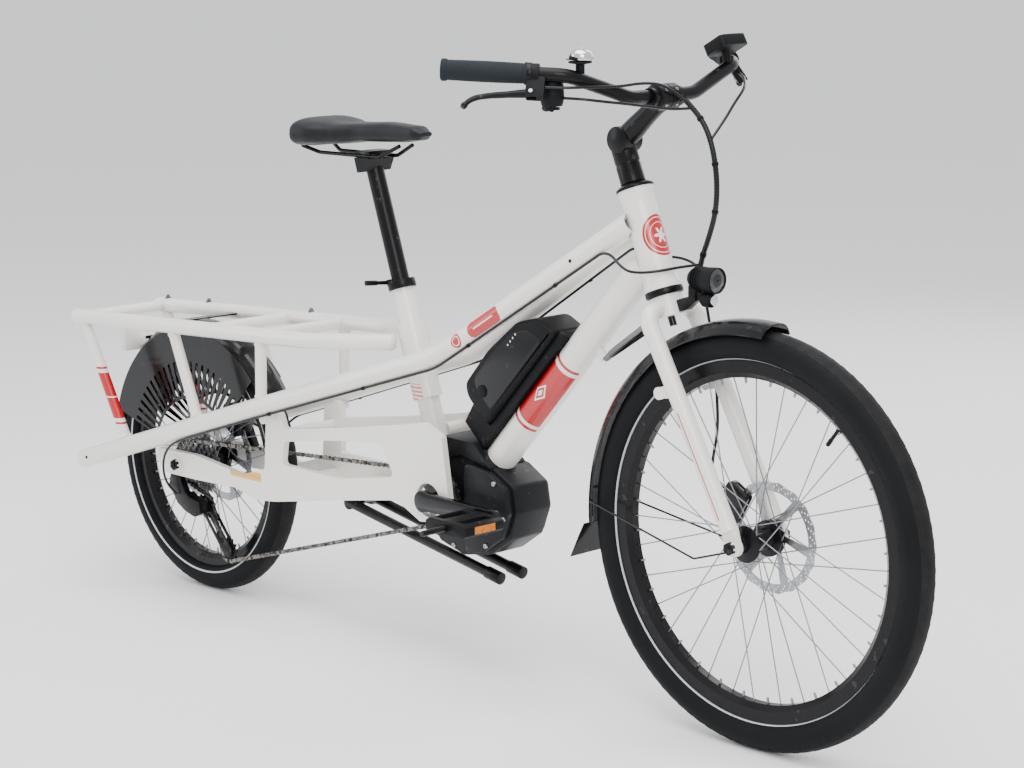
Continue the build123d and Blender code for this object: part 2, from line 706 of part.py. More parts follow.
def build_pedal(side):
    """side is -1 on the right, where the crank points forward."""
    ahead = bottom_bracket_forward - side * crank_length
    near, far = sorted((side * pedal_inner, side * (pedal_inner + pedal_width)))
    with BuildPart() as pedal:
        half, tall = pedal_length / 2, pedal_height / 2
        plate([(ahead - half, bottom_bracket_height - 7), (ahead - half + 8,
                bottom_bracket_height - tall),
               (ahead + half - 8, bottom_bracket_height - tall), (ahead + half,
                       bottom_bracket_height - 7),
               (ahead + half, bottom_bracket_height + 7), (ahead + half - 8,
                       bottom_bracket_height + tall),
               (ahead - half + 8, bottom_bracket_height + tall), (ahead - half,
                       bottom_bracket_height + 7)],
              near, far)
        for start, end in ((ahead - half + 12, ahead - 15), (ahead + 15, ahead + half - 12)):
            plate([(start, bottom_bracket_height - tall - 1), (start, bottom_bracket_height + tall + 1),
                   (end, bottom_bracket_height + tall + 1), (end, bottom_bracket_height - tall - 1)],
                  near + 12, far - 12, mode=Mode.SUBTRACT)
        rod(at(ahead, near - 1, bottom_bracket_height), at(ahead, far + 1, bottom_bracket_height),
            5.0 + running_clearance, mode=Mode.SUBTRACT)
    return pedal


pedal_right = build_pedal(-1)
write(pedal_right, "pedal_right")
pedal_left = build_pedal(1)
write(pedal_left, "pedal_left")

# ---------------------------------------------------------------- rear brake, stand
def caliper_solid(centre_x, centre_z, angle, inner, outer):
    """A brake caliper across the rotor's rim, turned by angle, with its slot open towards the hub."""
    with BuildSketch(side_plane(outer)) as block:
        with Locations(Location((centre_x, centre_z), angle)):
            RectangleRounded(46, 62, 9)
    extrude(block.sketch, amount=outer - inner)
    slot_half = rotor_thickness / 2 + 0.9
    with BuildSketch(side_plane(rotor_left + slot_half)) as slot:
        with Locations(Location((centre_x, centre_z), angle)):
            with Locations((-14, 0)):
                Rectangle(46, 70)
    extrude(slot.sketch, amount=2 * slot_half, mode=Mode.SUBTRACT)


rear_caliper_angle = 62.0
with BuildPart() as rear_caliper:
    reach = rotor_radius - 2
    caliper_solid(rear_axle.X + reach * math.cos(math.radians(rear_caliper_angle)),
                  rear_axle.Z + reach * math.sin(math.radians(rear_caliper_angle)), rear_caliper_angle,
                      22, 56)
    mount_forward = reach * math.cos(math.radians(rear_caliper_angle)) + 8
    plate([(mount_forward - 8, 320), (mount_forward + 12, 320), (mount_forward + 30, 285),
           (mount_forward + 10, 270)],
          56 - 6, rear_dropout_inner - part_gap)
write(rear_caliper, "rear_caliper")

kick_pin_radius = 5.0
kick_half = 36.0
kick_lug = 18.0               # bracket's half width
kick_leg_side = 28.0
with BuildPart() as kickstand_bracket:
    plate([(432, 269.2), (490, 278), (494, 262), (470, 240), (446, 240), (430, 256)],
          -kick_lug, kick_lug)
    plate([(444, 232), (444, 256), (478, 256), (478, 232)], -kick_lug + 8, kick_lug - 8,
          mode=Mode.SUBTRACT)
    rod(kick_pivot - left_way * 60, kick_pivot + left_way * 60, kick_pin_radius + running_clearance,
        mode=Mode.SUBTRACT)
write(kickstand_bracket, "kickstand_bracket")

leg_radius = 9.0
foot_forward = 366.0
with BuildPart() as kickstand:
    rod(kick_pivot - left_way * kick_half, kick_pivot + left_way * kick_half, kick_pin_radius)
    for side in (-1, 1):
        root = kick_pivot + left_way * (side * kick_leg_side)
        foot = at(459 + foot_forward, side * (kick_leg_side - 1.5), 182)
        rod(root, foot, leg_radius)
        rod(root - left_way * 7, root + left_way * 7, 12.0)
        foot_way = (foot - root).normalized()
        rod(foot - foot_way * 8, foot + foot_way * 26, 11.0)
write(kickstand, "kickstand")

# ---------------------------------------------------------------- rear mudguard, wheel skirt, rear light
def guard_profile(inner_radius, half_width, wall, drop):
    """A mudguard's curved section as (radius, sideways) points, and back along its inside."""
    steps = 6
    outer, inside = [], []
    for number in range(-steps, steps + 1):
        share = number / steps
        fall = drop * share**4 * 0.75 + drop * 0.25 * share**2
        outer.append((inner_radius + wall - fall, half_width * share))
        inside.append((inner_radius - fall, (half_width - wall) * share))
    return outer + inside[::-1]


def guard(centre, start_angle, end_angle, profile):
    """A mudguard from start_angle to end_angle, measured from straight ahead, over the top."""
    start = math.radians(start_angle)
    radial = Vector(math.cos(start), 0, math.sin(start))
    with BuildSketch(Plane(origin=centre, x_dir=radial, z_dir=radial.cross(left_way))) as section:
        with BuildLine():
            Polyline(*profile, close=True)
        make_face()
    revolve(section.sketch, axis=Axis(centre, -left_way), revolution_arc=end_angle - start_angle)


rear_guard_inner = rear_tyre_radius + 15.0
guard_half_width = 34.0
guard_wall = 2.2
skirt_side = guard_half_width + part_gap
skirt_wall = 1.6
skirt_inner = 122.0
skirt_outer = rear_guard_inner - 14.0
skirt_slots = 22
skirt_start, skirt_end = 44.0, 164.0
with BuildPart() as rear_mudguard:
    guard(rear_axle, 36, 172, guard_profile(rear_guard_inner, guard_half_width, guard_wall, 20.0))
    # strap across the rack, on the mudguard's top
    strap = rear_axle.Z + rear_guard_inner
    strap_reach = rack_side - rack_rail_radius - part_gap
    plate([(-28, strap), (-8, strap), (-8, strap + 3), (-28, strap + 3)], -strap_reach, strap_reach)
    for left in (skirt_side + skirt_wall, -skirt_side):
        with BuildSketch(side_plane(left)) as skirt:
            with Locations((rear_axle.X, rear_axle.Z)):
                Circle(skirt_outer)
                Circle(skirt_inner, mode=Mode.SUBTRACT)
            with BuildLine():
                far = 2 * skirt_outer
                fan = [Vector(rear_axle.X, rear_axle.Z)]
                for angle in (skirt_start, (skirt_start + skirt_end) / 2, skirt_end):
                    turn = math.radians(angle)
                    fan.append(fan[0] + Vector(math.cos(turn), math.sin(turn)) * far)
                Polyline(*fan, close=True)
            make_face(mode=Mode.INTERSECT)
            step = (skirt_end - skirt_start) / skirt_slots
            for number in range(skirt_slots):
                turn = math.radians(skirt_start + step * (number + 0.5))
                slot_middle = (skirt_inner + 4 + skirt_outer - 60) / 2
                slot_length = skirt_outer - 60 - skirt_inner - 8
                place = Vector(rear_axle.X + slot_middle * math.cos(turn),
                               rear_axle.Z + slot_middle * math.sin(turn))
                with Locations(Location((place.X, place.Y), math.degrees(turn))):
                    SlotOverall(slot_length, 7, mode=Mode.SUBTRACT)
        extrude(skirt.sketch, amount=skirt_wall)
write(rear_mudguard, "rear_mudguard")

with BuildPart() as rear_light:
    plate([(-214, 452), (-214, 500), (-202, 500), (-202, 452)], -46, 46)
    plate([(-226, 462), (-226, 490), (-214 - part_gap, 490), (-214 - part_gap, 462)], -38, 38, 3.0)
    plate([(-202 + part_gap, 458), (-202 + part_gap, 474), (-168, 492), (-160, 482.6)], -8, 8)
write(rear_light, "rear_light")

# ================================================================ fork and cockpit
crown_along = head_tube_start - lower_ring_height - part_gap
leg_top = steer(crown_along - crown_drop, 0, -fork_leg_side)
leg_low = front_axle + Vector(-9, -fork_leg_side + 1, 24)
crown_height = 34.0
crown_radius = 26.0
with BuildPart() as fork:
    rod(steer(crown_along - crown_height), steer(crown_along), crown_radius)
    steerer_top = head_tube_start + head_tube_length + upper_ring_height + stem_height - 4
    rod(steer(crown_along - 10), steer(steerer_top), steerer_radius)
    for side in (-1, 1):
        top = steer(crown_along - crown_drop, 0, side * 14.0)
        shoulder = steer(crown_along - crown_drop - 4, 0, side * fork_leg_side)
        low = Vector(leg_low.X, side * abs(leg_low.Y), leg_low.Z)
        tube_along([top, shoulder, low], [26.0], fork_leg_radius)
        near, far = sorted((side * front_dropout_inner, side * front_dropout_outer))
        rod(Vector(front_axle.X, near, front_axle.Z), Vector(front_axle.X, far, front_axle.Z), 15.0)
        plate([(wheelbase - 24, front_tyre_radius + 26), (wheelbase + 4, front_tyre_radius + 34),
               (wheelbase + 14, front_tyre_radius), (wheelbase - 14, front_tyre_radius - 4)], near, far)
        tab = low + (shoulder - low) * 0.66
        rod(tab + Vector(-30, -3 * side, -14), tab + Vector(-30, 3 * side, -14), 10.0)
        near, far = sorted((tab.Y - 3 * side, tab.Y + 3 * side))
        forward = tab.X - rear_axle_x
        plate([(forward - 32, tab.Z - 22), (forward - 28, tab.Z - 5), (forward, tab.Z + 8), (forward,
                tab.Z - 18)], near, far)
    rod(front_axle - left_way * 80, front_axle + left_way * 80, axle_radius + running_clearance,
        mode=Mode.SUBTRACT)
    axle(front_axle, front_dropout_outer + part_gap)
write(fork, "fork")

stem_foot = head_tube_start + head_tube_length + upper_ring_height + part_gap
bar_clamp = at(bar_clamp_forward, 0, bar_clamp_height)
stem_top = steer(stem_foot + stem_height)
with BuildPart() as stem:
    rod(steer(stem_foot), stem_top, stem_radius)
    forward = stem_top.X - rear_axle_x
    plate([(forward - 12, stem_top.Z - 2), (forward + 6, stem_top.Z + 6), (bar_clamp_forward - 12,
            bar_clamp_height + 14),
           (bar_clamp_forward - 2, bar_clamp_height - 20), (forward + 44, stem_top.Z - 30),
               (forward + 16, stem_top.Z - 38)],
          -15, 15)
    rod(bar_clamp - left_way * 21, bar_clamp + left_way * 21, bar_clamp_radius + 5)
    rod(bar_clamp - left_way * 30, bar_clamp + left_way * 30, bar_clamp_radius + running_clearance,
        mode=Mode.SUBTRACT)
    rod(steer(stem_foot - 5), steer(stem_foot + stem_height - 4 + part_gap),
        steerer_radius + running_clearance, mode=Mode.SUBTRACT)
write(stem, "stem")

bar_half = [at(1201, -72, 1016), at(1181, -190, 1056), at(1034, -315, 1066)]
bar_points = bar_half[::-1] + mirrored(bar_half)
bar_bends = [50.0, 70.0, 70.0, 50.0]
with BuildPart() as handlebar:
    tube_along(bar_points, bar_bends, bar_radius, bar_radius - 2.0)
    rod(bar_clamp - left_way * 34, bar_clamp + left_way * 34, bar_clamp_radius)
write(handlebar, "handlebar")

bar_out = (bar_half[2] - bar_half[1]).normalized()     # right grip, outwards
grip_length = 132.0
grip_radius = 16.0


def grip_point(inboard):
    """A point on the right grip's axis, measured inwards from the bar's end."""
    return bar_half[2] - bar_out * inboard


with BuildPart() as grips:
    rod(grip_point(-4), grip_point(grip_length), grip_radius)
    rod(grip_point(-4), grip_point(3), grip_radius + 1.5)
    rod(grip_point(0), grip_point(grip_length + 2), bar_radius + running_clearance, mode=Mode.SUBTRACT)
    mirror(about=Plane.XZ)
write(grips, "grips")

level = Vector(0, 0, 1)
bar_ahead = (level.cross(bar_out) * -1).normalized()   # level, square to the right grip, forwards
if bar_ahead.X < 0:
    bar_ahead = bar_ahead * -1
lever_down = (bar_ahead * 0.55 - level * 0.83).normalized()


def lever_plane(inboard, offset=0.0):
    """A plane through the right grip's axis that holds the brake lever; x is outwards, y away from the bar."""
    normal = bar_out.cross(lever_down)
    return Plane(origin=grip_point(inboard) + normal * offset, x_dir=bar_out, z_dir=normal)


clamp_inboard = 136.0
clamp_width = 14.0
lever_pin_radius = 2.0
lever_pivot = (10.0, 34.0)
pod_inboard = 168.0
bell_seat = at(1183, -165, 1047.6)


def lever_point(x, y, off=0.0):
    """A point in the brake lever's plane."""
    plane = lever_plane(clamp_inboard + clamp_width, off)
    return plane.from_local_coords(Vector(x, y, 0))


with BuildPart() as handlebar_controls:
    # brake perches, each with a slot for its lever and a pin
    rod(grip_point(clamp_inboard), grip_point(clamp_inboard + clamp_width), bar_radius + 5)
    with BuildSketch(lever_plane(clamp_inboard + clamp_width, -8)) as arm:
        with Locations((4, 25)):
            RectangleRounded(28, 34, 4)
    extrude(arm.sketch, amount=16)
    with BuildSketch(lever_plane(clamp_inboard + clamp_width, -5)) as slot:
        with Locations((22, 40)):
            Rectangle(42, 26)
    extrude(slot.sketch, amount=10, mode=Mode.SUBTRACT)
    rod(lever_point(*lever_pivot, -7), lever_point(*lever_pivot, 7), lever_pin_radius)
    mirror(about=Plane.XZ)
    # gear shifter pod under the right side of the bar
    pod_axis = grip_point(pod_inboard) - bar_ahead * 14
    turned(pod_axis, -level, [(0, 5), (14, 5), (18, 16), (19, 36), (16, 48), (0, 50)])
    # bell on its foot
    turned(bell_seat, level, [(0, 8), (7, 8), (7, 24), (18, 26), (18, 29), (0, 29)])
    turned(bell_seat, level, [(0, 31.3), (17, 31.3), (17.5, 34), (14, 42), (7, 47), (0, 48)])
    rod(bell_seat + level * 29, bell_seat + level * 31.3, 2.5)
    tube_along(bar_points, bar_bends, bar_radius + running_clearance, mode=Mode.SUBTRACT)
write(handlebar_controls, "handlebar_controls")

with BuildPart() as brake_lever_right:
    with BuildSketch(lever_plane(clamp_inboard + clamp_width, -4.7)) as blade:
        with Locations(lever_pivot):
            Circle(6)
        with BuildLine():
            Polyline((10, 40), (56, 45), (96, 50), (112, 62), (122, 61), (112, 45), (80, 36), (40, 32),
                     (10, 28),
                     close=True)
        make_face()
        with Locations(lever_pivot):
            Circle(lever_pin_radius + running_clearance, mode=Mode.SUBTRACT)
    extrude(blade.sketch, amount=9.4)
write(brake_lever_right, "brake_lever_right")
with BuildPart() as brake_lever_left:
    add(mirror(brake_lever_right.part, about=Plane.XZ, mode=Mode.PRIVATE))
write(brake_lever_left, "brake_lever_left")

with BuildPart() as shift_lever:
    turned(pod_axis, -level, [(0, 50.3), (12, 50.3), (12, 54), (0, 54)])
    paddle = pod_axis - level * 54.2
    rod(paddle, paddle - bar_ahead * 26 + bar_out * 12, 3.4)
    rod(paddle - bar_ahead * 22 + bar_out * 10, paddle - bar_ahead * 30 + bar_out * 14, 5.0)
write(shift_lever, "shift_lever")

with BuildPart() as bell_lever:
    turned(bell_seat, level, [(3, 29.3), (9, 29.3), (9, 31), (3, 31)])
    rod(bell_seat + level * 30.15 + Vector(-8, 0, 0), bell_seat + level * 30.15 + Vector(-30, 4, 0), 0.8)
    rod(bell_seat + level * 30.15 + Vector(-28, 4, 0), bell_seat + level * 30.15 + Vector(-33, 4, 0), 0.9)
write(bell_lever, "bell_lever")

display_tilt = 28.0
display_centre = at(1180, 172, 1086)
display_face = Plane(origin=display_centre, x_dir=(0, 1, 0),
                     z_dir=(-math.sin(math.radians(display_tilt)), 0,
                            math.cos(math.radians(display_tilt))))
button_travel = 1.2
with BuildPart() as display:
    with BuildSketch(display_face.offset(-9)) as case:
        RectangleRounded(62, 46, 9)
    extrude(case.sketch, amount=18)
    with BuildSketch(display_face.offset(9 - button_travel - 2)) as well:
        with Locations((-22, -14)):
            RectangleRounded(10.6, 7.6, 2)
    extrude(well.sketch, amount=10, mode=Mode.SUBTRACT)
    foot = at(1184.6, 172, 1049.8)
    rod(foot + level * 6, display_centre - level * 6, 7.0)
    tube_along(bar_points, bar_bends, bar_radius + running_clearance, mode=Mode.SUBTRACT)
write(display, "display")
with BuildPart() as display_button:
    with BuildSketch(display_face.offset(9 - 1.7)) as key:
        with Locations((-22, -14)):
            RectangleRounded(10, 7, 1.8)
    extrude(key.sketch, amount=3.2)
write(display_button, "display_button")

# ---------------------------------------------------------------- front mudguard, light, brake, stabiliser
front_guard_inner = front_tyre_radius + 12.0
guard_end = 184.0
stay_wire = 1.7
with BuildPart() as front_mudguard:
    guard(front_axle, 84, guard_end, guard_profile(front_guard_inner, guard_half_width, guard_wall, 20.0))
    flap_top = front_axle + Vector(-front_guard_inner - 1, 0,
                                   math.tan(math.radians(180 - guard_end)) * front_guard_inner - 0.4)
    flap_way = Vector(-0.24, 0, -0.97).normalized()
    with BuildSketch(Plane(origin=flap_top, x_dir=(0, 1, 0), z_dir=flap_way.cross(left_way))) as flap:
        with BuildLine():
            Polyline((-30, 0), (30, 0), (37, -20), (48, -56), (-48, -56), (-37, -20), close=True)
        make_face()
    extrude(flap.sketch, amount=2.0)
    for side in (-1, 1):
        wire_side = front_dropout_outer + part_gap + stay_wire
        wire = [at(1072, side * (guard_half_width + stay_wire), 352), at(1322, side * wire_side, 304),
                at(1391, side * wire_side, 326)]
        tube_along(wire, [12.0], stay_wire)
    rod(steer(crown_along - crown_height - part_gap), steer(344), 6.0)
write(front_mudguard, "front_mudguard")

lamp_seat = at(1262, 0, 735)
forward_way = Vector(1, 0, 0)
lamp_pivot = at(1270, 0, 712)
with BuildPart() as headlight_bracket:
    crown_face = crown_radius + part_gap
    plate([flat(steer(361, crown_face)), flat(steer(380, crown_face)), (1262, 706), (1266, 711), (1276,
            711),
           (1276, 700), (1257, 684)], -7, 7)
    rod(lamp_pivot - left_way * 7, lamp_pivot + left_way * 7, 5.0)
    rod(lamp_pivot - left_way * 8, lamp_pivot + left_way * 8, 2.0 + running_clearance, mode=Mode.SUBTRACT)
write(headlight_bracket, "headlight_bracket")

with BuildPart() as headlight:
    turned(lamp_seat, forward_way, [(0, 0), (11, 0), (16, 6), (18.5, 26), (19.5, 44), (0, 44)])
    turned(lamp_seat, forward_way, [(0, 44.3), (18.8, 44.3), (17, 50), (9, 54), (0, 55)])
    turned(lamp_seat + Vector(24, 0, -31.5), forward_way, [(0, 0), (9, 0), (12, 5), (12, 19), (8, 24),
            (0, 25)])
    for side in (-1, 1):
        low, high = sorted((side * 7.3, side * 11))
        plate([(1265, 706), (1275, 706), (1280, 724), (1265, 724)], low, high)
    rod(lamp_pivot - left_way * 11, lamp_pivot + left_way * 11, 2.0)
write(headlight, "headlight")

front_caliper_angle = 150.0
with BuildPart() as front_caliper:
    reach = rotor_radius - 2
    caliper_solid(front_axle.X + reach * math.cos(math.radians(front_caliper_angle)),
                  front_axle.Z + reach * math.sin(math.radians(front_caliper_angle)), front_caliper_angle,
                  24.5, fork_leg_side - fork_leg_radius - part_gap)
write(front_caliper, "front_caliper")

stabiliser_radius = 6.5
with BuildPart() as stabiliser_spring:
    rod(down(stabiliser_along, -down_tube_radius - stabiliser_boss - part_gap), steer(366,
            -crown_radius), stabiliser_radius)
    rod(steer(300), steer(420), crown_radius + part_gap, mode=Mode.SUBTRACT)
    down_plate([(0, -down_tube_radius - stabiliser_boss - part_gap), (0, 100), (600, 100),
                (600, -down_tube_radius - stabiliser_boss - part_gap)], 40, mode=Mode.SUBTRACT)
write(stabiliser_spring, "stabiliser_spring")

# ---------------------------------------------------------------- hoses and cables
bundle_radius = 4.5
hose_radius = 2.5
bundle_route = [
    at(1229, 22, 1008), at(1253, 30, 985), at(1273, 34, 946), at(1283, 36, 890), at(1281, 36, 838),
    at(1266, 36, 794), at(1250, 38, 762), at(1243, 40, 738),
]
front_hose_route = [
    at(1242.8, 40, 737), at(1238, 56, 706), at(1234, 74, 656), at(1242, 75.5, 598), at(1254, 71, 536),
    at(1264, 62, 480), at(1264, 50, 440), at(1272, 38, 417), at(1288, 34, 407.8), at(1306.9, 34, 396.9),
]
right_hose_route = [
    at(1163.4, -221, 1039.4), at(1184, -203, 1038), at(1204, -166, 1038), at(1213, -112, 1036), at(1218,
            -62, 1040),
    at(1227, -16, 1034), at(1233, 23.3, 1004),
]
shift_cable_route = [
    at(1171.4, -189.5, 1021.3), at(1196, -180, 1021), at(1212, -150, 1016), at(1222, -104, 1010),
        at(1231, -52, 1002),
    at(1233, -8, 996), at(1241, 26, 996.5),
]
left_hose_route = [
    at(1163.4, 221, 1039.4), at(1186, 202, 1038), at(1214, 180, 1034), at(1242, 148, 1021), at(1254, 110,
            1001),
    at(1266, 74, 978), at(1272.5, 34.5, 950),
]
with BuildPart() as steering_hoses:
    for route in (front_hose_route, right_hose_route, shift_cable_route, left_hose_route):
        cord(route, hose_radius)
    tube_along(bundle_route, cord_radii(bundle_route), bundle_radius + part_gap, mode=Mode.SUBTRACT)
    cord(bundle_route, bundle_radius)
write(steering_hoses, "steering_hoses")

cable_radius = 2.3
held_offset = Vector(6.2, 12.0, -16.7)      # from a side rail's centre line to its cable, on the left


def held(forward, side):
    """A point of a cable held under a side rail, from the rail's own corner or a place on its front run."""
    corners = {300: at(300, side_rail_side, 415.4), 719: at(719, 46, 548.8)}
    share = (forward - 719) / (1153 - 719)
    rail = corners.get(forward, at(forward, 46 - 26.5 * share, 548.8 + 266.2 * share))
    if forward < 300:
        rail = at(forward, side_rail_side, rail_height(forward))
    point = rail + held_offset
    return Vector(point.X, side * point.Y, point.Z)


right_cable = [
    at(1246.5, 39, 750), at(1231, 10, 748), at(1214, -24, 743), at(1192, -43, 740), at(1160, -46, 741),
        held(1106, -1),
    held(719, -1), held(300, -1), held(60, -1), at(28, -112, 306), at(0, -107, 282),
    at(-16, -100, 252), at(-20, -92, 226), at(-13, -83, 207), at(-6, -77, 198),
]
left_cable = [
    at(1244.5, 39.6, 743), at(1226, 45, 751), at(1196, 43, 757), at(1160, 43, 754), held(1106, 1),
    held(719, 1), held(300, 1), held(130, 1), at(110, 108, 324), at(88, 94, 312), at(66, 76, 314), at(47,
            60, 334),
]


def held_radii(points, first):
    """A held cable's arc radii: its clip, then the side rail's two long bends."""
    radii = cord_radii(points)
    radii[first - 1:first + 2] = [30.0, rail_radii[1], rail_radii[0]]
    return radii


with BuildPart() as frame_cables:
    for route, first in ((right_cable, 5), (left_cable, 4)):
        radii = held_radii(route, first)
        print("cable radii", [round(radius) for radius in radii])
        tube_along(route, radii, cable_radius)
    tube_along(bundle_route, cord_radii(bundle_route), bundle_radius + part_gap, mode=Mode.SUBTRACT)
write(frame_cables, "frame_cables")

# ---------------------------------------------------------------- seat post and saddle
post_length = 390.0
post_top = seat_collar + seat_way * 210.0
rail_side = 22.0
saddle_rail_height = post_top.Z + 18.0
with BuildPart() as seatpost:
    rod(post_top - seat_way * post_length, post_top, seatpost_radius)
    forward = post_top.X - rear_axle_x
    height = saddle_rail_height
    plate([(forward - 14, post_top.Z - 12), (forward + 12, post_top.Z - 8), (forward + 22, height - 3.8),
           (forward - 22, height - 3.8)],
          -28, 28)
    plate([(forward - 20, height + 3.8), (forward + 20, height + 3.8), (forward + 16, height + 9),
           (forward - 16, height + 9)],
          -28, 28)
    for side in (-1, 1):
        route = [at(356, side * 36, height + 11.3), at(390, side * 24, height), at(548, side * rail_side,
                height),
                 at(596, side * 15, height + 21.8)]
        tube_along(route, [22.0, 22.0], 3.5)
write(seatpost, "seatpost")

saddle_low = height + 15.0
with BuildPart() as saddle:
    plate([(340, saddle_low + 26), (346, saddle_low + 6), (356, saddle_low), (452, saddle_low),
           (600, saddle_low + 11), (640, saddle_low + 22), (651, saddle_low + 34), (640, saddle_low + 42),
           (560, saddle_low + 46), (430, saddle_low + 40), (372, saddle_low + 48), (348, saddle_low + 42)],
          -100, 100, 4.0)
    with BuildSketch(Plane.XY.offset(saddle_low - 10)) as plan:
        with BuildLine():
            half_plan = [(340, 34), (348, 60), (372, 78), (405, 76), (445, 54), (500, 34), (580, 24),
                         (636, 20), (651, 9)]
            ring = [(rear_axle_x + x, y) for x, y in half_plan]
            ring += [(x, -y) for x, y in ring[::-1]]
            Polyline(*ring, close=True)
        make_face()
    extrude(plan.sketch, amount=80, mode=Mode.INTERSECT)
write(saddle, "saddle")
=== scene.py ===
import bpy
import bmesh
import json
import math
from mathutils import Matrix, Vector

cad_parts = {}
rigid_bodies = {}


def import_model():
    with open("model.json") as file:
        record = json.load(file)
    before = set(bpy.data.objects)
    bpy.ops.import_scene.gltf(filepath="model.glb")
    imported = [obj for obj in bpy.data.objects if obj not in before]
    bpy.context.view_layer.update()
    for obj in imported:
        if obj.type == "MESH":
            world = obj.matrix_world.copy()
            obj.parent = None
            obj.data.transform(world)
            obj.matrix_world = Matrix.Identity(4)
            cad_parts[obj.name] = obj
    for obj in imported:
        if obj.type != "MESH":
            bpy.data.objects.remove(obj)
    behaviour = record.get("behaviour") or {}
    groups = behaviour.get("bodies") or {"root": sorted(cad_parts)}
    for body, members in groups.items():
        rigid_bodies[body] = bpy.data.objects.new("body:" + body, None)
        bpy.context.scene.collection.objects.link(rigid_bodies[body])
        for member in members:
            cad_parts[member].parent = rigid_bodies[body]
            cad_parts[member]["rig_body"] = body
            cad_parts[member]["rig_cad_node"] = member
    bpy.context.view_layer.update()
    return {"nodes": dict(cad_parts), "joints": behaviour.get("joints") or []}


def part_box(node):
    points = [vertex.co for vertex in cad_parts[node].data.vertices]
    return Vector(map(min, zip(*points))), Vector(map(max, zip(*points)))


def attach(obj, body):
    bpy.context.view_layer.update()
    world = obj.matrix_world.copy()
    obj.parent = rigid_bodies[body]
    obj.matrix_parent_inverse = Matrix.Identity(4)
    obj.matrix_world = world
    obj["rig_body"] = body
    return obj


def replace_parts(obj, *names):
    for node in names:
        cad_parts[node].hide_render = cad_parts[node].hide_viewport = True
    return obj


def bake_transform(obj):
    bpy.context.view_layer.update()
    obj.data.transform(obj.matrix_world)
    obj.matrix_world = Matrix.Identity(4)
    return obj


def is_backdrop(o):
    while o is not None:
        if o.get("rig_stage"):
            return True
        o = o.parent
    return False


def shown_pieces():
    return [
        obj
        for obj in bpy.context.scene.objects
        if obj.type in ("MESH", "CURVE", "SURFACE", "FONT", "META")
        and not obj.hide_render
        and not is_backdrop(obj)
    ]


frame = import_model()
mm = 0.001
fullTurn = 2 * math.pi


def middle(node):
    low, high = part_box(node)
    return (low + high) / 2


rearAxle = middle("rear_tyre")
frontAxle = middle("front_tyre")
steering = next(joint for joint in frame["joints"] if joint["name"] == "steering")
steerWay = Vector(steering["axis"]).normalized()
steerFoot = Vector(steering["pos_m"])
leftWay = Vector((0, 1, 0))
print("frame loaded")


def at(forward, left, up):     # millimetres forward of the rear axle, left of the middle, above the ground
    return Vector((rearAxle.x + forward * mm, left * mm, up * mm))


# ---- node graphs: a wire is one socket, and sums on wires add Math nodes
class Wire:
    def __init__(self, graph, socket):
        self.graph, self.socket = graph, socket

    def maths(self, operation, *values):
        return self.graph.add("ShaderNodeMath", {"operation": operation}, dict(enumerate(values)))

    def __add__(self, other):
        return self.maths("ADD", self, other)

    __radd__ = __add__

    def __sub__(self, other):
        return self.maths("SUBTRACT", self, other)

    def __rsub__(self, other):
        return self.maths("SUBTRACT", other, self)

    def __mul__(self, other):
        return self.maths("MULTIPLY", self, other)

    __rmul__ = __mul__

    def __truediv__(self, other):
        return self.maths("DIVIDE", self, other)

    def __abs__(self):
        return self.maths("ABSOLUTE", self)

    def __gt__(self, other):
        return self.maths("GREATER_THAN", self, other)

    def __lt__(self, other):
        return self.maths("LESS_THAN", self, other)

    def __pow__(self, other):
        return self.maths("POWER", self, other)

    def call(self, operation, *others):
        return self.maths(operation, self, *others)


class Graph:
    def __init__(self, tree):
        self.tree = tree

    def feed(self, socket, value):
        if isinstance(value, Wire):
            self.tree.links.new(value.socket, socket)
        else:
            socket.default_value = value

    def add(self, kind, settings=None, values=None, output=0):
        node = self.tree.nodes.new(kind)
        for key, value in (settings or {}).items():
            setattr(node, key, value)
        for socket, value in (values or {}).items():
            self.feed(node.inputs[socket], value)
        return Wire(self, node.outputs[output])


class Finish(Graph):
    def __init__(self, name, **fixed):
        self.material = bpy.data.materials.new(name)
        self.material.use_nodes = True
        super().__init__(self.material.node_tree)
        self.tree.nodes.clear()
        self.shader = self.tree.nodes.new("ShaderNodeBsdfPrincipled")
        output = self.tree.nodes.new("ShaderNodeOutputMaterial")
        self.tree.links.new(self.shader.outputs[0], output.inputs["Surface"])
        for key, value in fixed.items():
            self.set(key.replace("_", " "), value)
        self.where = self.add("ShaderNodeTexCoord", output="Object")

    def set(self, socket, value):
        self.feed(self.shader.inputs[socket], value)

    def split(self, vector):
        node = self.tree.nodes.new("ShaderNodeSeparateXYZ")
        self.tree.links.new(vector.socket, node.inputs[0])
        return [Wire(self, output) for output in node.outputs]

    def noise(self, scale, detail=3):
        return self.add("ShaderNodeTexNoise", values={"Scale": scale, "Detail": detail, "Vector": self.where})

    def mix(self, factor, first, second):
        node = self.tree.nodes.new("ShaderNodeMix")
        node.data_type = "RGBA"
        for socket, value in ((node.inputs[0], factor), (node.inputs[6], first), (node.inputs[7], second)):
            self.feed(socket, value)
        return Wire(self, node.outputs[2])

    def bump(self, height, distance, strength=1.0):
        self.set("Normal", self.add("ShaderNodeBump", values={
            "Height": height, "Distance": distance, "Strength": strength}))

    def along(self, origin, way):     # distance along a direction, in metres
        dot = self.add("ShaderNodeVectorMath", {"operation": "SUBTRACT"}, {0: self.where, 1: tuple(origin)})
        return self.add("ShaderNodeVectorMath", {"operation": "DOT_PRODUCT"}, {0: dot, 1: tuple(way)},
            "Value")

    def radius(self, centre):         # distance from a wheel's axle line
        x, _, z = self.split(self.where)
        return ((x - centre.x) ** 2 + (z - centre.z) ** 2) ** 0.5

    def between(self, value, low, high):
        return (value > low) * (value < high)


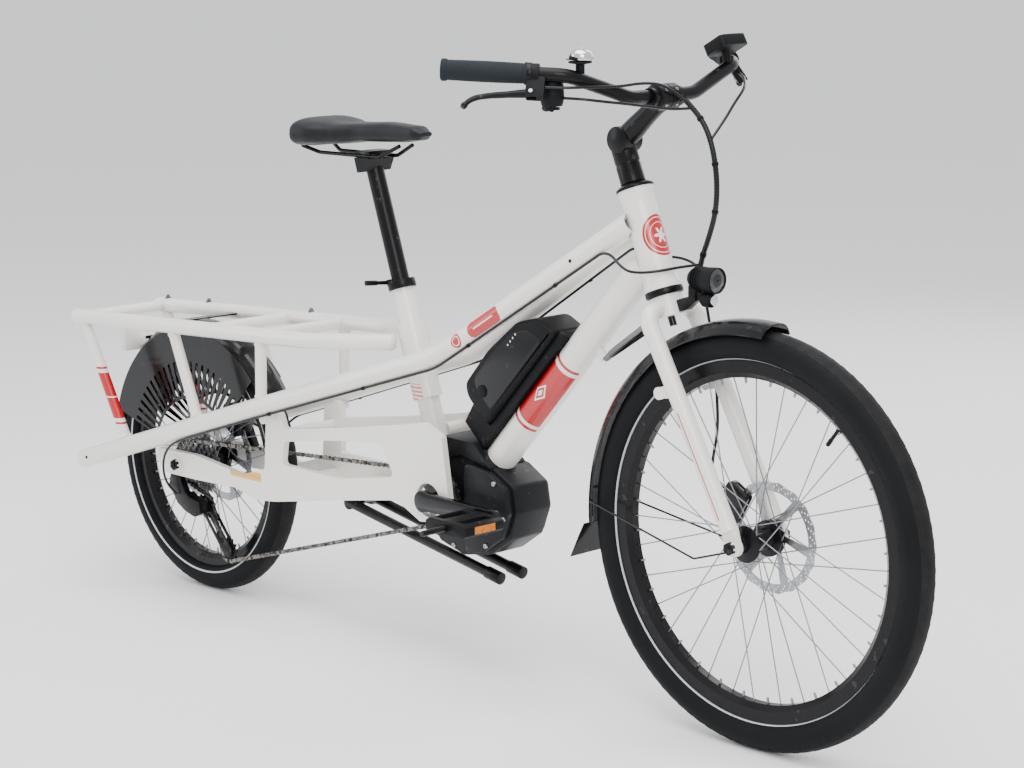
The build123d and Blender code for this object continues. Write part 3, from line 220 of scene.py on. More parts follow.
def rgb(r, g, b):
    return (r, g, b, 1.0)


white = rgb(0.80, 0.78, 0.725)
red = rgb(0.44, 0.001, 0.005)


# ---- finishes
def framePaint(name, decals=None):
    f = Finish(name, Coat_Weight=0.55, Coat_Roughness=0.06)
    tint = f.noise(2.2, 3)
    colour = f.mix(tint * 0.5, white, rgb(0.77, 0.75, 0.70))
    dust = f.noise(38, 5) * f.noise(5, 2)
    colour = f.mix((dust > 0.42) * 0.10, colour, rgb(0.62, 0.60, 0.56))
    mask = 0.0
    if decals:
        for part, ink in decals(f):
            colour = f.mix(part, colour, ink)
            mask = part.call("MAXIMUM", mask)
    f.set("Base Color", colour)
    f.set("Roughness", f.noise(14, 4) * 0.14 + 0.24)
    f.bump(f.noise(420, 2) * 0.35 + mask * 0.5, 0.00025, 0.5)
    return f.material


def grained(name, colour, roughness, grain=900.0, depth=0.00012, metallic=0.0, coat=0.0, wear=0.0):
    f = Finish(name, Metallic=metallic, Coat_Weight=coat, Coat_Roughness=0.1, Specular_IOR_Level=0.14)
    patch = f.noise(7, 4)
    lighter = rgb(*[c * 1.8 + 0.001 for c in colour])
    tone = f.mix(patch * 0.45, rgb(*colour), lighter)
    scuff = (f.noise(55, 6) > 0.66) * wear
    f.set("Base Color", f.mix(scuff, tone, rgb(0.25, 0.25, 0.25)))
    f.set("Roughness", f.noise(26, 3) * 0.22 + (roughness - 0.1) + scuff * 0.2)
    f.bump(f.noise(grain, 2), depth, 0.6)
    return f.material


def turnedMetal(name, colour, centre, roughness=0.3):      # fine rings about a wheel's axle
    f = Finish(name, Metallic=1.0)
    rings = (f.radius(centre) * 9000).call("SINE") * 0.5 + 0.5
    stain = f.noise(30, 4)
    f.set("Base Color", f.mix(stain, rgb(*colour), rgb(*[c * 0.72 for c in colour])))
    f.set("Roughness", rings * 0.16 + stain * 0.12 + (roughness - 0.1))
    f.bump(rings + stain * 0.5, 0.00003, 0.6)
    return f.material


def rubberTyre(name, centre, outer, stripe):
    f = Finish(name, Specular_IOR_Level=0.13)
    radius = f.radius(centre)
    _, side, _ = f.split(f.where)
    line = f.between(radius, stripe - 0.0016, stripe + 0.0016) * (abs(side) > 0.012)
    fleck = f.noise(600, 2)
    rubber = f.mix(f.noise(9, 4), rgb(0.0022, 0.0026, 0.0034), rgb(0.0065, 0.007, 0.0085))
    dusty = f.between(radius, outer - 0.006, outer + 0.01) * f.noise(40, 5) * 0.18
    rubber = f.mix(dusty, rubber, rgb(0.085, 0.08, 0.075))
    f.set("Base Color", f.mix(line, rubber, rgb(0.52, 0.53, 0.55)))
    f.set("Roughness", 0.60 - line * 0.3 + fleck * 0.12)
    ribs = (radius * 5200).call("SINE") * f.between(radius, stripe - 0.022, stripe + 0.012) * 0.4
    f.bump(fleck * 0.4 + line * 0.8 + ribs, 0.0003, 0.6)
    return f.material


def brushed(name, colour, roughness=0.28, grain=260.0):
    f = Finish(name, Metallic=1.0)
    streak = f.noise(grain, 4)
    patch = f.noise(18, 3)
    f.set("Base Color", f.mix(patch, rgb(*colour), rgb(*[c * 0.7 for c in colour])))
    f.set("Roughness", streak * 0.2 + patch * 0.1 + roughness - 0.12)
    f.bump(streak, 0.00004, 0.5)
    return f.material


def chainMetal():
    f = Finish("chainSteel", Metallic=1.0)
    oil = f.noise(160, 4)
    f.set("Base Color", f.mix(oil > 0.52, rgb(0.20, 0.19, 0.18), rgb(0.05, 0.045, 0.04)))
    f.set("Roughness", oil * 0.35 + 0.22)
    f.bump(f.noise(900, 2), 0.00005, 0.6)
    return f.material


def saddleSkin():
    f = Finish("saddleCover", Sheen_Weight=0.03, Sheen_Roughness=0.4, Specular_IOR_Level=0.2)
    pores = f.add("ShaderNodeTexVoronoi", {"feature": "DISTANCE_TO_EDGE"}, {"Vector": f.where, "Scale": 520})
    crease = f.noise(70, 5)
    f.set("Base Color", f.mix(crease, rgb(0.0042, 0.0048, 0.0062), rgb(0.010, 0.011, 0.014)))
    f.set("Roughness", f.noise(22, 4) * 0.16 + 0.34)
    f.bump(pores.call("MINIMUM", 0.12) * 4 + crease * 0.5, 0.00022, 0.55)
    return f.material


def lensGlass(name, colour, roughness=0.02):
    f = Finish(name, Transmission_Weight=1.0, IOR=1.49)
    smear = f.noise(45, 3)
    f.set("Base Color", f.mix(smear, rgb(*colour), rgb(*[c * 0.92 for c in colour])))
    f.set("Roughness", smear * 0.05 + roughness)
    f.bump(f.noise(130, 2), 0.00004, 0.3)
    return f.material


def reflectorGrid(name, colour):       # prism cells behind clear plastic
    f = Finish(name, Coat_Weight=0.8, Coat_Roughness=0.05)
    cells = f.add("ShaderNodeTexVoronoi", {"feature": "DISTANCE_TO_EDGE"}, {"Vector": f.where, "Scale": 420})
    f.set("Base Color", f.mix(cells * 5, rgb(*[c * 0.45 for c in colour]), rgb(*colour)))
    f.set("Roughness", cells * 1.2 + 0.1)
    f.bump(cells, 0.0006, 0.9)
    return f.material


# ---- decals: plain shapes with no lettering
downLow, downHigh = at(824, 0, 378.7), at(1150, 0, 729.6)
downWay = (downHigh - downLow).normalized()
downNormal = Vector((-downWay.z, 0, downWay.x))
railCorner, railEnd = at(719, -46, 548.8), at(1153, -19.5, 815)
railWay = (railEnd - railCorner).normalized()
railNormal = Vector((-railWay.z, 0, railWay.x)).normalized()


def downTubeDecals(f):
    along = f.along(downLow, downWay)
    _, side, _ = f.split(f.where)
    off = f.along(downLow, downNormal)
    outer = abs(side) > 0.0065
    band = f.between(along, 0.122, 0.250) * outer
    lines = (f.between(along, 0.109, 0.115) + f.between(along, 0.258, 0.264)) * outer
    diamond = abs(along - 0.186) * 0.55 + abs(off)
    mark = f.between(diamond, 0.0085, 0.0115) + (diamond < 0.0045)
    return [(band + lines, red), (mark * band, white)]


def stayDecals(f):
    x, _, z = f.split(f.where)
    rear = x < at(-100, 0, 0).x
    band = f.between(z, 0.3327, 0.4173) * rear
    lines = (f.between(z, 0.3215, 0.3255) + f.between(z, 0.4245, 0.4285)) * rear
    gap = f.between(z, 0.371, 0.3735)
    return [((band + lines) * (1 - gap), red)]


def railDecals(f):
    along = f.along(railCorner, railWay)
    off = f.along(railCorner, railNormal)
    _, side, _ = f.split(f.where)
    right = side < -0.03
    dot = ((along - 0.072) ** 2 + off ** 2) ** 0.5
    badge = (dot < 0.0122) * right
    ring = f.between(dot, 0.0072, 0.0088) * right
    edge = (abs(along - 0.146) - 0.031).call("MAXIMUM", 0.0)
    fall = (abs(off) - 0.004).call("MAXIMUM", 0.0)
    tag = ((edge ** 2 + fall ** 2) ** 0.5 < 0.0095) * right
    bars = (abs(off) < 0.0012) * (abs(along - 0.146) < 0.026) * right
    return [(badge + tag, red), (ring + bars, white)]


def headDecals(f):
    centre = steerFoot + steerWay * 0.487
    along = f.along(centre, steerWay)
    aheadWay = Vector((steerWay.z, 0, -steerWay.x))
    front = f.along(centre, aheadWay)
    _, side, _ = f.split(f.where)
    around = side.call("ARCTAN2", front) * 0.029
    dot = (along ** 2 + around ** 2) ** 0.5
    disc = dot < 0.034
    rings = f.between(dot, 0.0285, 0.0298) + f.between(dot, 0.0205, 0.0215)
    petals = (along.call("ARCTAN2", around) * 6).call("COSINE") * 0.0045 + 0.0095
    star = dot < petals
    return [(disc, red), (rings + star, white)]


def forkDecals(f):
    _, side, _ = f.split(f.where)
    x = f.along(at(1391, 0, 358.5), Vector((-0.4807, 0, 0.8769)))
    edge = f.along(at(1391, 0, 358.5), Vector((0.8769, 0, 0.4807)))
    line = f.between(x, 0.02, 0.20) * (abs(edge) < 0.0011) * (abs(side) > 0.062)
    return [(line, red)]


def plateDecals(f):
    x, side, z = f.split(f.where)
    right = side < -0.0755
    label = f.between(x, at(165, 0, 0).x, at(258, 0, 0).x) * f.between(z, 0.262, 0.279) * right
    ticks = (f.add("ShaderNodeTexWave", {"bands_direction": "X"}, {"Vector": f.where, "Scale": 85}) > 0.62)
    ticks = ticks * label * f.between(z, 0.2665, 0.2745)
    return [(label, rgb(0.75, 0.42, 0.05)), (ticks, rgb(0.45, 0.22, 0.02))]


def seatTubeDecals(f):
    _, side, z = f.split(f.where)
    bar = f.between(z, 0.425, 0.49) * (side < -0.022)
    comb = (z * 900).call("SINE") > 0.2
    return [(bar * comb, rgb(0.7, 0.12, 0.12))]


paint = {
    "plain": framePaint("frameWhite"),
    "down_tube": framePaint("downTubeWhite", downTubeDecals),
    "rack_frame": framePaint("rackFrameWhite", stayDecals),
    "side_rails": framePaint("sideRailWhite", railDecals),
    "head_tube": framePaint("headTubeWhite", headDecals),
    "fork": framePaint("forkWhite", forkDecals),
    "stay_plates": framePaint("stayPlateWhite", plateDecals),
    "seat_tube": framePaint("seatTubeWhite", seatTubeDecals),
}
satinBlack = grained("satinBlack", (0.0024, 0.0024, 0.003), 0.34, 1400, 0.00005, coat=0.08, wear=0.1)
softBlack = grained("mouldedBlack", (0.003, 0.0032, 0.004), 0.5, 1100, 0.00014, wear=0.06)
glossBlack = grained("glossBlack", (0.0035, 0.0036, 0.0044), 0.17, 300, 0.00003, coat=0.28, wear=0.05)
castGrey = grained("castMotorGrey", (0.0065, 0.0068, 0.0082), 0.42, 760, 0.00016, coat=0.05, wear=0.1)
rimBlack = grained("rimBlack", (0.0035, 0.0035, 0.0042), 0.26, 1500, 0.00003, coat=0.08, wear=0.08)
hoseBlack = grained("hoseBlack", (0.004, 0.004, 0.005), 0.32, 700, 0.00006, coat=0.3)
gripGrey = grained("gripSlate", (0.0115, 0.0150, 0.0185), 0.72, 820, 0.0002)
steel = brushed("brightSteel", (0.30, 0.30, 0.32), 0.3)
darkSteel = brushed("darkSteel", (0.20, 0.20, 0.21), 0.34)
boltSteel = brushed("boltSteel", (0.50, 0.50, 0.52), 0.28, 500)
bellSilver = brushed("bellSilver", (0.80, 0.80, 0.82), 0.16)
chainSteel = chainMetal()
saddleCover = saddleSkin()
clearLens = lensGlass("clearLens", (0.95, 0.97, 1.0))
redLens = reflectorGrid("redReflector", (0.55, 0.015, 0.012))
amber = reflectorGrid("amberReflector", (0.75, 0.22, 0.012))
chromeCup = brushed("reflectorCup", (0.86, 0.86, 0.88), 0.14)
screenGlass = grained("screenGlass", (0.016, 0.02, 0.024), 0.12, 200, 0.00001, coat=1.0)
frontRubber = rubberTyre("frontTyreRubber", frontAxle, 0.3345, 0.2873)
rearRubber = rubberTyre("rearTyreRubber", rearAxle, 0.258, 0.2216)
frontDisc = turnedMetal("frontDiscSteel", (0.40, 0.41, 0.43), frontAxle)
rearDisc = turnedMetal("rearDiscSteel", (0.40, 0.41, 0.43), rearAxle)
cogSteel = turnedMetal("cogSteel", (0.34, 0.34, 0.36), rearAxle, 0.36)
print("finishes made")


# ---- mesh helpers
def meshObject(name, mesh, finish=None):
    made = bpy.data.objects.new(name, mesh)
    bpy.context.scene.collection.objects.link(made)
    if finish:
        mesh.materials.clear()
        mesh.materials.append(finish)
    return made


def smooth(made, angle=40):
    made.data.polygons.foreach_set("use_smooth", [True] * len(made.data.polygons))
    made.data.set_sharp_from_angle(angle=math.radians(angle))
    return made


def evaluated(made):      # the object's result as a plain mesh
    graph = bpy.context.evaluated_depsgraph_get()
    graph.update()
    return bpy.data.meshes.new_from_object(made.evaluated_get(graph), depsgraph=graph)


def baked(made):          # the same object with no modifiers left
    mesh = evaluated(made)
    made.modifiers.clear()
    made.data = mesh
    return made


def shaped(name, bm, finish=None, angle=None, outward=True):      # an object from what was modelled
    if outward:
        bmesh.ops.recalc_face_normals(bm, faces=bm.faces)
    mesh = bpy.data.meshes.new(name)
    bm.to_mesh(mesh)
    bm.free()
    made = meshObject(name, mesh, finish)
    return smooth(made, angle) if angle else made


def cuboid(size, centre):
    bm = bmesh.new()
    bmesh.ops.create_cube(bm, size=1)
    bmesh.ops.scale(bm, vec=size, verts=bm.verts)
    bmesh.ops.translate(bm, vec=centre, verts=bm.verts)
    return bm


def joined(name, parts, finish=None):
    bm = bmesh.new()
    for part in parts:
        bm.from_mesh(part.data)
        bpy.data.objects.remove(part)
    return shaped(name, bm, finish, outward=False)


def turnTo(origin, way):   # matrix that puts local Z along a direction
    z = Vector(way).normalized()
    guide = Vector((0, 0, 1)) if abs(z.z) < 0.9 else Vector((1, 0, 0))
    x = (guide - z * guide.dot(z)).normalized()
    y = z.cross(x)
    return Matrix.Translation(origin) @ Matrix((x, y, z)).transposed().to_4x4()


def lathe(name, origin, way, profile, steps=48, finish=None, closed=False):
    # profile points are (radius, distance along the axis) in metres; a closed profile makes a ring
    place = turnTo(origin, way)
    bm = bmesh.new()
    rows = []
    for radius, distance in profile:
        if radius < 1e-6:
            rows.append([bm.verts.new(place @ Vector((0, 0, distance)))])
            continue
        rows.append([bm.verts.new(place @ Vector((
            radius * math.cos(fullTurn * k / steps), radius * math.sin(fullTurn * k / steps), distance)))
            for k in range(steps)])
    pairs = list(zip(rows, rows[1:])) + ([(rows[-1], rows[0])] if closed else [])
    for lower, upper in pairs:
        for k in range(steps):
            n = (k + 1) % steps
            corners = [row[i % len(row)] for row, i in ((lower, k), (lower, n), (upper, n), (upper, k))]
            unique = list(dict.fromkeys(corners))
            if len(unique) > 2:
                bm.faces.new(unique)
    return shaped(name, bm, finish, 40)


def rounded(node, finish, width=0.0012):
    # a copy of a CAD node with its hard edges eased, which stands for the node
    bm = bmesh.new()
    bm.from_mesh(frame["nodes"][node].data)
    bmesh.ops.remove_doubles(bm, verts=bm.verts, dist=2e-6)
    bmesh.ops.dissolve_limit(bm, angle_limit=math.radians(0.6), verts=bm.verts, edges=bm.edges)
    made = shaped(node + "_finished", bm, finish, outward=False)
    bevel = made.modifiers.new("ease", "BEVEL")
    bevel.width, bevel.segments, bevel.limit_method = width, 2, "ANGLE"
    bevel.angle_limit = math.radians(32)
    baked(made)
    made.data.materials.clear()
    made.data.materials.append(finish)
    smooth(made, 35)
    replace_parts(made, node)
    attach(made, frame["nodes"][node]["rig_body"])
    return made


def easedValue(table, x):
    for (x0, y0), (x1, y1) in zip(table, table[1:]):
        if x <= x1:
            t = max(0.0, min(1.0, (x - x0) / max(1e-6, x1 - x0)))
            return y0 + (y1 - y0) * (t * t * (3 - 2 * t) * 0.5 + t * 0.5)
    return table[-1][1]


def splinePoints(points, steps=10):    # a smooth line near the points, evenly cut
    curve = bpy.data.curves.new("line", "CURVE")
    curve.dimensions = "3D"
    curve.resolution_u = steps
    spline = curve.splines.new("NURBS")
    spline.points.add(len(points) - 1)
    for target, point in zip(spline.points, points):
        target.co = (*point, 1)
    spline.order_u, spline.use_endpoint_u = 3, True
    holder = meshObject("line", curve)
    line = [vertex.co.copy() for vertex in evaluated(holder).vertices]
    bpy.data.objects.remove(holder)
    return line


def tube(name, line, radius, finish, sides=12, ribs=None, ends=None):
    # a closed tube along a line of points; ribs is (pitch, depth), ends scales the radius along it
    bm = bmesh.new()
    across, rings, travelled = None, [], 0.0
    for k, point in enumerate(line):
        way = (line[min(k + 1, len(line) - 1)] - line[max(k - 1, 0)]).normalized()
        if across is None:
            across = way.orthogonal().normalized()
        across = (across - way * across.dot(way)).normalized()
        other = way.cross(across)
        travelled += (point - line[k - 1]).length if k else 0.0
        swell = ribs[1] * math.cos(fullTurn * travelled / ribs[0]) if ribs else 0.0
        if ends:
            swell += radius * (easedValue(ends, k / (len(line) - 1)) - 1)
        rings.append([bm.verts.new(point + (across * math.cos(a) + other * math.sin(a)) * (radius + swell))
                      for a in (fullTurn * s / sides for s in range(sides))])
    for lower, upper in zip(rings, rings[1:]):
        for s in range(sides):
            bm.faces.new((lower[s], lower[(s + 1) % sides], upper[(s + 1) % sides], upper[s]))
    bm.faces.new(rings[0][::-1])
    bm.faces.new(rings[-1])
    return shaped(name, bm, finish, 50)


def cutPlate(name, outline, holes, thickness, finish, place):
    # a flat plate with holes: (x, y) outlines filled, then given thickness about z = 0
    curve = bpy.data.curves.new(name, "CURVE")
    curve.dimensions, curve.fill_mode = "2D", "BOTH"
    curve.extrude = thickness / 2
    for loop in [outline] + holes:
        spline = curve.splines.new("POLY")
        spline.points.add(len(loop) - 1)
        for target, (x, y) in zip(spline.points, loop):
            target.co = (x, y, 0, 1)
        spline.use_cyclic_u = True
    holder = meshObject(name + "_shape", curve)
    mesh = evaluated(holder)
    bpy.data.objects.remove(holder)
    mesh.transform(place)
    bm = bmesh.new()
    bm.from_mesh(mesh)
    bmesh.ops.remove_doubles(bm, verts=bm.verts, dist=1e-6)
    return shaped(name, bm, finish, 30)


def circle(x, y, radius, sides=12):
    return [(x + radius * math.cos(fullTurn * k / sides), y + radius * math.sin(fullTurn * k / sides))
            for k in range(sides)]


def polar(radius, angle):
    return (radius * math.cos(angle), radius * math.sin(angle))


# ---- repeats: copies of one cell, made by node trees
def socketOf(tree, name, kind, inOut="INPUT"):
    return tree.interface.new_socket(name, in_out=inOut, socket_type="NodeSocket" + kind)


def repeatTree(name, inputs, build):
    tree = bpy.data.node_groups.new(name, "GeometryNodeTree")
    sockets = {label: socketOf(tree, label, kind) for label, kind in inputs}
    socketOf(tree, "Geometry", "Geometry", "OUTPUT")
    graph = Graph(tree)
    source = tree.nodes.new("NodeGroupInput")
    wires = {label: Wire(graph, source.outputs[label]) for label in sockets}
    copies = build(graph, wires)
    real = graph.add("GeometryNodeRealizeInstances", values={"Geometry": copies})
    painted = graph.add("GeometryNodeSetMaterial", values={"Geometry": real, "Material": wires["Finish"]})
    output = tree.nodes.new("NodeGroupOutput")
    tree.links.new(painted.socket, output.inputs[0])
    return tree, {label: item.identifier for label, item in sockets.items()}


def aroundAxle(graph, wires):          # cells face +X and are spread about +Y
    index = graph.add("GeometryNodeInputIndex")
    angle = index * fullTurn / wires["Count"] + wires["Start"]
    place = graph.add("ShaderNodeCombineXYZ", values={
        "X": angle.call("COSINE") * wires["Radius"], "Z": angle.call("SINE") * wires["Radius"]})
    turn = graph.add("ShaderNodeCombineXYZ", values={"Y": angle * -1.0})
    points = graph.add("GeometryNodePoints", values={"Count": wires["Count"], "Position": place})
    cell = graph.add("GeometryNodeObjectInfo", values={"Object": wires["Cell"]}, output="Geometry")
    return graph.add("GeometryNodeInstanceOnPoints", values={
        "Points": points, "Instance": cell,
        "Rotation": graph.add("FunctionNodeEulerToRotation", values={0: turn})})


def atPoints(graph, wires):            # cells face +Z and follow each point's own direction
    cell = graph.add("GeometryNodeObjectInfo", values={"Object": wires["Cell"]}, output="Geometry")
    way = graph.add("GeometryNodeInputNamedAttribute", {"data_type": "FLOAT_VECTOR"}, {"Name": "way"})
    turn = graph.add("FunctionNodeAlignRotationToVector", {"axis": "Z"}, {"Vector": way})
    return graph.add("GeometryNodeInstanceOnPoints", values={
        "Points": wires["Places"], "Instance": cell, "Rotation": turn})


def alongLoop(graph, wires):           # two cells by turns, one pitch apart, facing along the loop
    path = graph.add("GeometryNodeObjectInfo", values={"Object": wires["Path"]}, output="Geometry")
    even = graph.add("GeometryNodeResampleCurve", values={"Curve": path, "Count": wires["Count"]})
    points = graph.tree.nodes.new("GeometryNodeCurveToPoints")
    points.mode = "EVALUATED"
    graph.feed(points.inputs["Curve"], even)
    tangent, spots = Wire(graph, points.outputs["Tangent"]), Wire(graph, points.outputs["Points"])
    turn = graph.add("FunctionNodeAlignRotationToVector", {"axis": "X", "pivot_axis": "Y"},
        {"Vector": tangent})
    odd = graph.add("GeometryNodeInputIndex").call("MODULO", 2.0) > 0.5
    first = graph.add("GeometryNodeObjectInfo", values={"Object": wires["Outer"]}, output="Geometry")
    second = graph.add("GeometryNodeObjectInfo", values={"Object": wires["Inner"]}, output="Geometry")
    both = graph.add("GeometryNodeJoinGeometry")
    copies = [graph.add("GeometryNodeInstanceOnPoints", values={
        "Points": spots, "Selection": chosen, "Instance": cell, "Rotation": turn})
        for chosen, cell in ((odd, first), (1 - odd, second))]
    for copy in copies:
        graph.feed(both.socket.node.inputs[0], copy)
    return both


ringTree = repeatTree("ringOfCells", [
    ("Cell", "Object"), ("Count", "Int"), ("Radius", "Float"), ("Start", "Float"),
    ("Finish", "Material")], aroundAxle)
pointTree = repeatTree("cellsAtPoints", [
    ("Places", "Geometry"), ("Cell", "Object"), ("Finish", "Material")], atPoints)
loopTree = repeatTree("linksOnLoop", [
    ("Path", "Object"), ("Outer", "Object"), ("Inner", "Object"), ("Count", "Int"),
    ("Finish", "Material")], alongLoop)


def grow(name, tree, values, mesh=None):
    made = meshObject(name, mesh or bpy.data.meshes.new(name))
    group, identifiers = tree
    modifier = made.modifiers.new("repeat", "NODES")
    modifier.node_group = group
    for label, value in values.items():
        modifier[identifiers[label]] = value
    baked(made)
    for value in values.values():
        if isinstance(value, bpy.types.Object):
            bpy.data.objects.remove(value)
    return smooth(made)


def ringOf(name, cell, count, radius, centre, finish, start=0.0):
    made = grow(name, ringTree, {"Cell": cell, "Count": count, "Radius": radius, "Start": start,
        "Finish": finish})
    made.data.transform(Matrix.Translation(centre))
    return made


def cellsAt(name, cell, places, finish):   # places are (point, direction)
    mesh = bpy.data.meshes.new(name)
    mesh.from_pydata([point for point, _ in places], [], [])
    ways = mesh.attributes.new("way", "FLOAT_VECTOR", "POINT")
    ways.data.foreach_set("vector", [c for _, way in places for c in way])
    return grow(name, pointTree, {"Cell": cell, "Finish": finish}, mesh)


def boltCell(radius, height):          # a cap with a socket
    return lathe("boltCell", (0, 0, 0), (0, 0, 1), [
        (0, 0), (radius, 0), (radius, height * 0.72), (radius * 0.86, height),
        (radius * 0.52, height), (radius * 0.48, height * 0.45), (0, height * 0.45)], 14)


def bolts(name, places, body, radius=0.0035, height=0.003, finish=None):
    made = cellsAt(name, boltCell(radius, height), places, finish or boltSteel)
    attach(made, body)
    return made


def dress(finish, *nodes):          # gives CAD nodes a finish
    for node in nodes:
        mesh = frame["nodes"][node].data
        mesh.materials.clear()
        mesh.materials.append(finish)


def eased(finish, *nodes, width=0.0012):
    for node in nodes:
        rounded(node, finish, width)


# ---- welded frame
for node, finish in paint.items():
    if node != "plain":
        dress(finish, node)
dress(paint["plain"], "frame_bridges", "rack_rails")
eased(satinBlack, "seat_clamp", "headset_cups", "seat_lever", "kickstand", "kickstand_bracket", width=0.0009)
eased(castGrey, "motor_housing", width=0.0035)
eased(castGrey, "motor_bracket", width=0.0015)
eased(softBlack, "battery_rail", "display", "handlebar_controls", "shift_lever", width=0.0015)
eased(glossBlack, "front_caliper", "rear_caliper", "cranks", width=0.0014)
eased(satinBlack, "derailleur_body", "derailleur_cage", "headlight_bracket", width=0.0009)
dress(satinBlack, "handlebar", "seatpost", "bell_lever")
dress(glossBlack, "front_mudguard", "rear_mudguard")
dress(steel, "front_spokes", "rear_spokes")
dress(softBlack, "display_button", "headlight")
dress(rimBlack, "front_rim", "rear_rim", "front_hub", "rear_hub")
eased(paint["plain"], "rear_light", width=0.0012)
print("frame dressed")


def prism(name, outline, halfWidth, corner, ease, finish):
    # a side outline given width about the middle plane, with rounded corners and eased edges
    bm = bmesh.new()
    near = [bm.verts.new(point - leftWay * halfWidth) for point in outline]
    face = bm.faces.new(near)
    grown = bmesh.ops.extrude_face_region(bm, geom=[face])
    moved = [item for item in grown["geom"] if isinstance(item, bmesh.types.BMVert)]
    bmesh.ops.translate(bm, vec=leftWay * (2 * halfWidth), verts=moved)
    crosswise = [e for e in bm.edges if abs((e.verts[0].co - e.verts[1].co).normalized().y) > 0.9]
    bmesh.ops.bevel(bm, geom=crosswise, offset=corner, segments=5, affect="EDGES", profile=0.5)
    bm.normal_update()
    rims = [e for e in bm.edges if abs(e.verts[0].co.y - e.verts[1].co.y) < 1e-6
            and abs(abs(e.verts[0].co.y) - halfWidth) < 1e-6]
    bmesh.ops.bevel(bm, geom=rims, offset=ease, segments=4, affect="EDGES", profile=0.5)
    return shaped(name, bm, finish, 40)


# ---- battery: rounded case, side panels, charge lights and a port cover
batteryLook = {"halfWidth": 41, "corner": 0.009, "ease": 0.009, "panelShare": 0.74}
caseOutline = [(53, 38.5), (53, 104), (66, 124), (150, 126), (240, 112), (282, 84), (296, 38.5)]


def onDown(along, off, side=0.0):
    return downLow + downWay * (along * mm) + downNormal * (off * mm) + leftWay * (side * mm)


case = prism("batteryCase", [onDown(*point) for point in caseOutline], batteryLook["halfWidth"] * mm,
             batteryLook["corner"], batteryLook["ease"], softBlack)
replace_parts(case, "battery")
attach(case, "battery_pack")
middleAlong, middleOff = 172, 80
share = batteryLook["panelShare"]
panelOutline = [onDown(middleAlong + (a - middleAlong) * share, middleOff + (o - middleOff) * share)
                for a, o in caseOutline]
panel = prism("batteryPanels", panelOutline, (batteryLook["halfWidth"] + 0.9) * mm, 0.007, 0.0008, glossBlack)
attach(panel, "battery_pack")
lightCell = lathe("lightCell", (0, 0, 0), (0, 0, 1), [(0, 0), (0.0017, 0), (0.0017, 0.0006), (0, 0.0009)], 12)

# ---- adjustable stem: post, knuckle drum, arm and bar clamp
stemLook = {"postRadius": 0.0205, "drumRadius": 0.0215, "clampRadius": 0.0208}
postFoot = steerFoot + steerWay * 0.5796
post = lathe("stemPost", postFoot, steerWay, [
    (0, 0), (0.0195, 0), (0.0208, 0.0015), (stemLook["postRadius"], 0.004), (stemLook["postRadius"], 0.030),
    (0.0197, 0.0315), (0.0197, 0.0345), (stemLook["postRadius"], 0.036), (stemLook["postRadius"], 0.076),
    (0.0188, 0.083), (0.012, 0.086), (0, 0.0865)], 48, satinBlack)
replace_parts(post, "stem")
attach(post, "steering_unit")
drumCentre = steerFoot + steerWay * 0.654 + Vector((0.008, 0, 0))
barCentre = at(1203.8, 0, 1014)
for name, centre, radius, half in (("stemDrum", drumCentre, stemLook["drumRadius"], 0.0215),
                                   ("barClamp", barCentre, stemLook["clampRadius"], 0.0235)):
    drum = lathe(name, centre - leftWay * half, leftWay, [
        (0, 0), (radius - 0.003, 0), (radius, 0.0025), (radius, half - 0.0012),
        (radius - 0.0012, half - 0.0006),
        (radius - 0.0012, half + 0.0006), (radius, half + 0.0012), (radius, 2 * half - 0.0025),
        (radius - 0.003, 2 * half), (0, 2 * half)], 40, satinBlack)
    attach(drum, "steering_unit")
armWay = barCentre - drumCentre
arm = lathe("stemArm", drumCentre, armWay, [
    (0, -0.004), (0.0165, 0), (0.0186, 0.012), (0.0178, 0.034), (0.0158, 0.065), (0.0162, 0.088),
    (0.0185, 0.104),
    (0.0120, armWay.length), (0, armWay.length)], 40, satinBlack)
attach(arm, "steering_unit")

# ---- brake levers: a curved blade that swells at its tip
leverLine = [(-6, 33), (12, 35), (36, 38), (62, 41), (84, 46), (96, 55), (101, 64)]
for side, node, body in ((-1, "brake_lever_right", "right_brake_lever"),
    (1, "brake_lever_left", "left_brake_lever")):
    origin = at(1140.5, side * 224.4, 1058.8)
    outWay = Vector((-0.7609, side * 0.6470, 0.0518))
    downSide = Vector((0.3253, side * 0.4491, -0.8321))
    route = [origin + outWay * (x * mm) + downSide * (y * mm) for x, y in leverLine]
    lever = tube(body + "Blade", splinePoints(route, 12), 0.0052, satinBlack, 16,
                 ends=[(0, 0.9), (0.08, 1.3), (0.3, 1.0), (0.6, 0.86), (0.9, 0.8), (0.95, 1.05), (1, 0.85)])
    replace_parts(lever, node)
    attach(lever, body)
    pivot = origin + downSide * 0.034
    pivotWay = outWay.cross(downSide).normalized()
    bolts(body + "Pin", [(pivot + pivotWay * 0.0078, tuple(pivotWay)), (pivot - pivotWay * 0.0078,
        tuple(-pivotWay))],
          body, 0.0034, 0.0022, boltSteel)

# ---- tyres, turned with shallow tread grooves
tyreLook = {"treadBlocks": 96, "blockHeight": 0.0011, "blockLength": 0.010, "blockWidth": 0.0075}


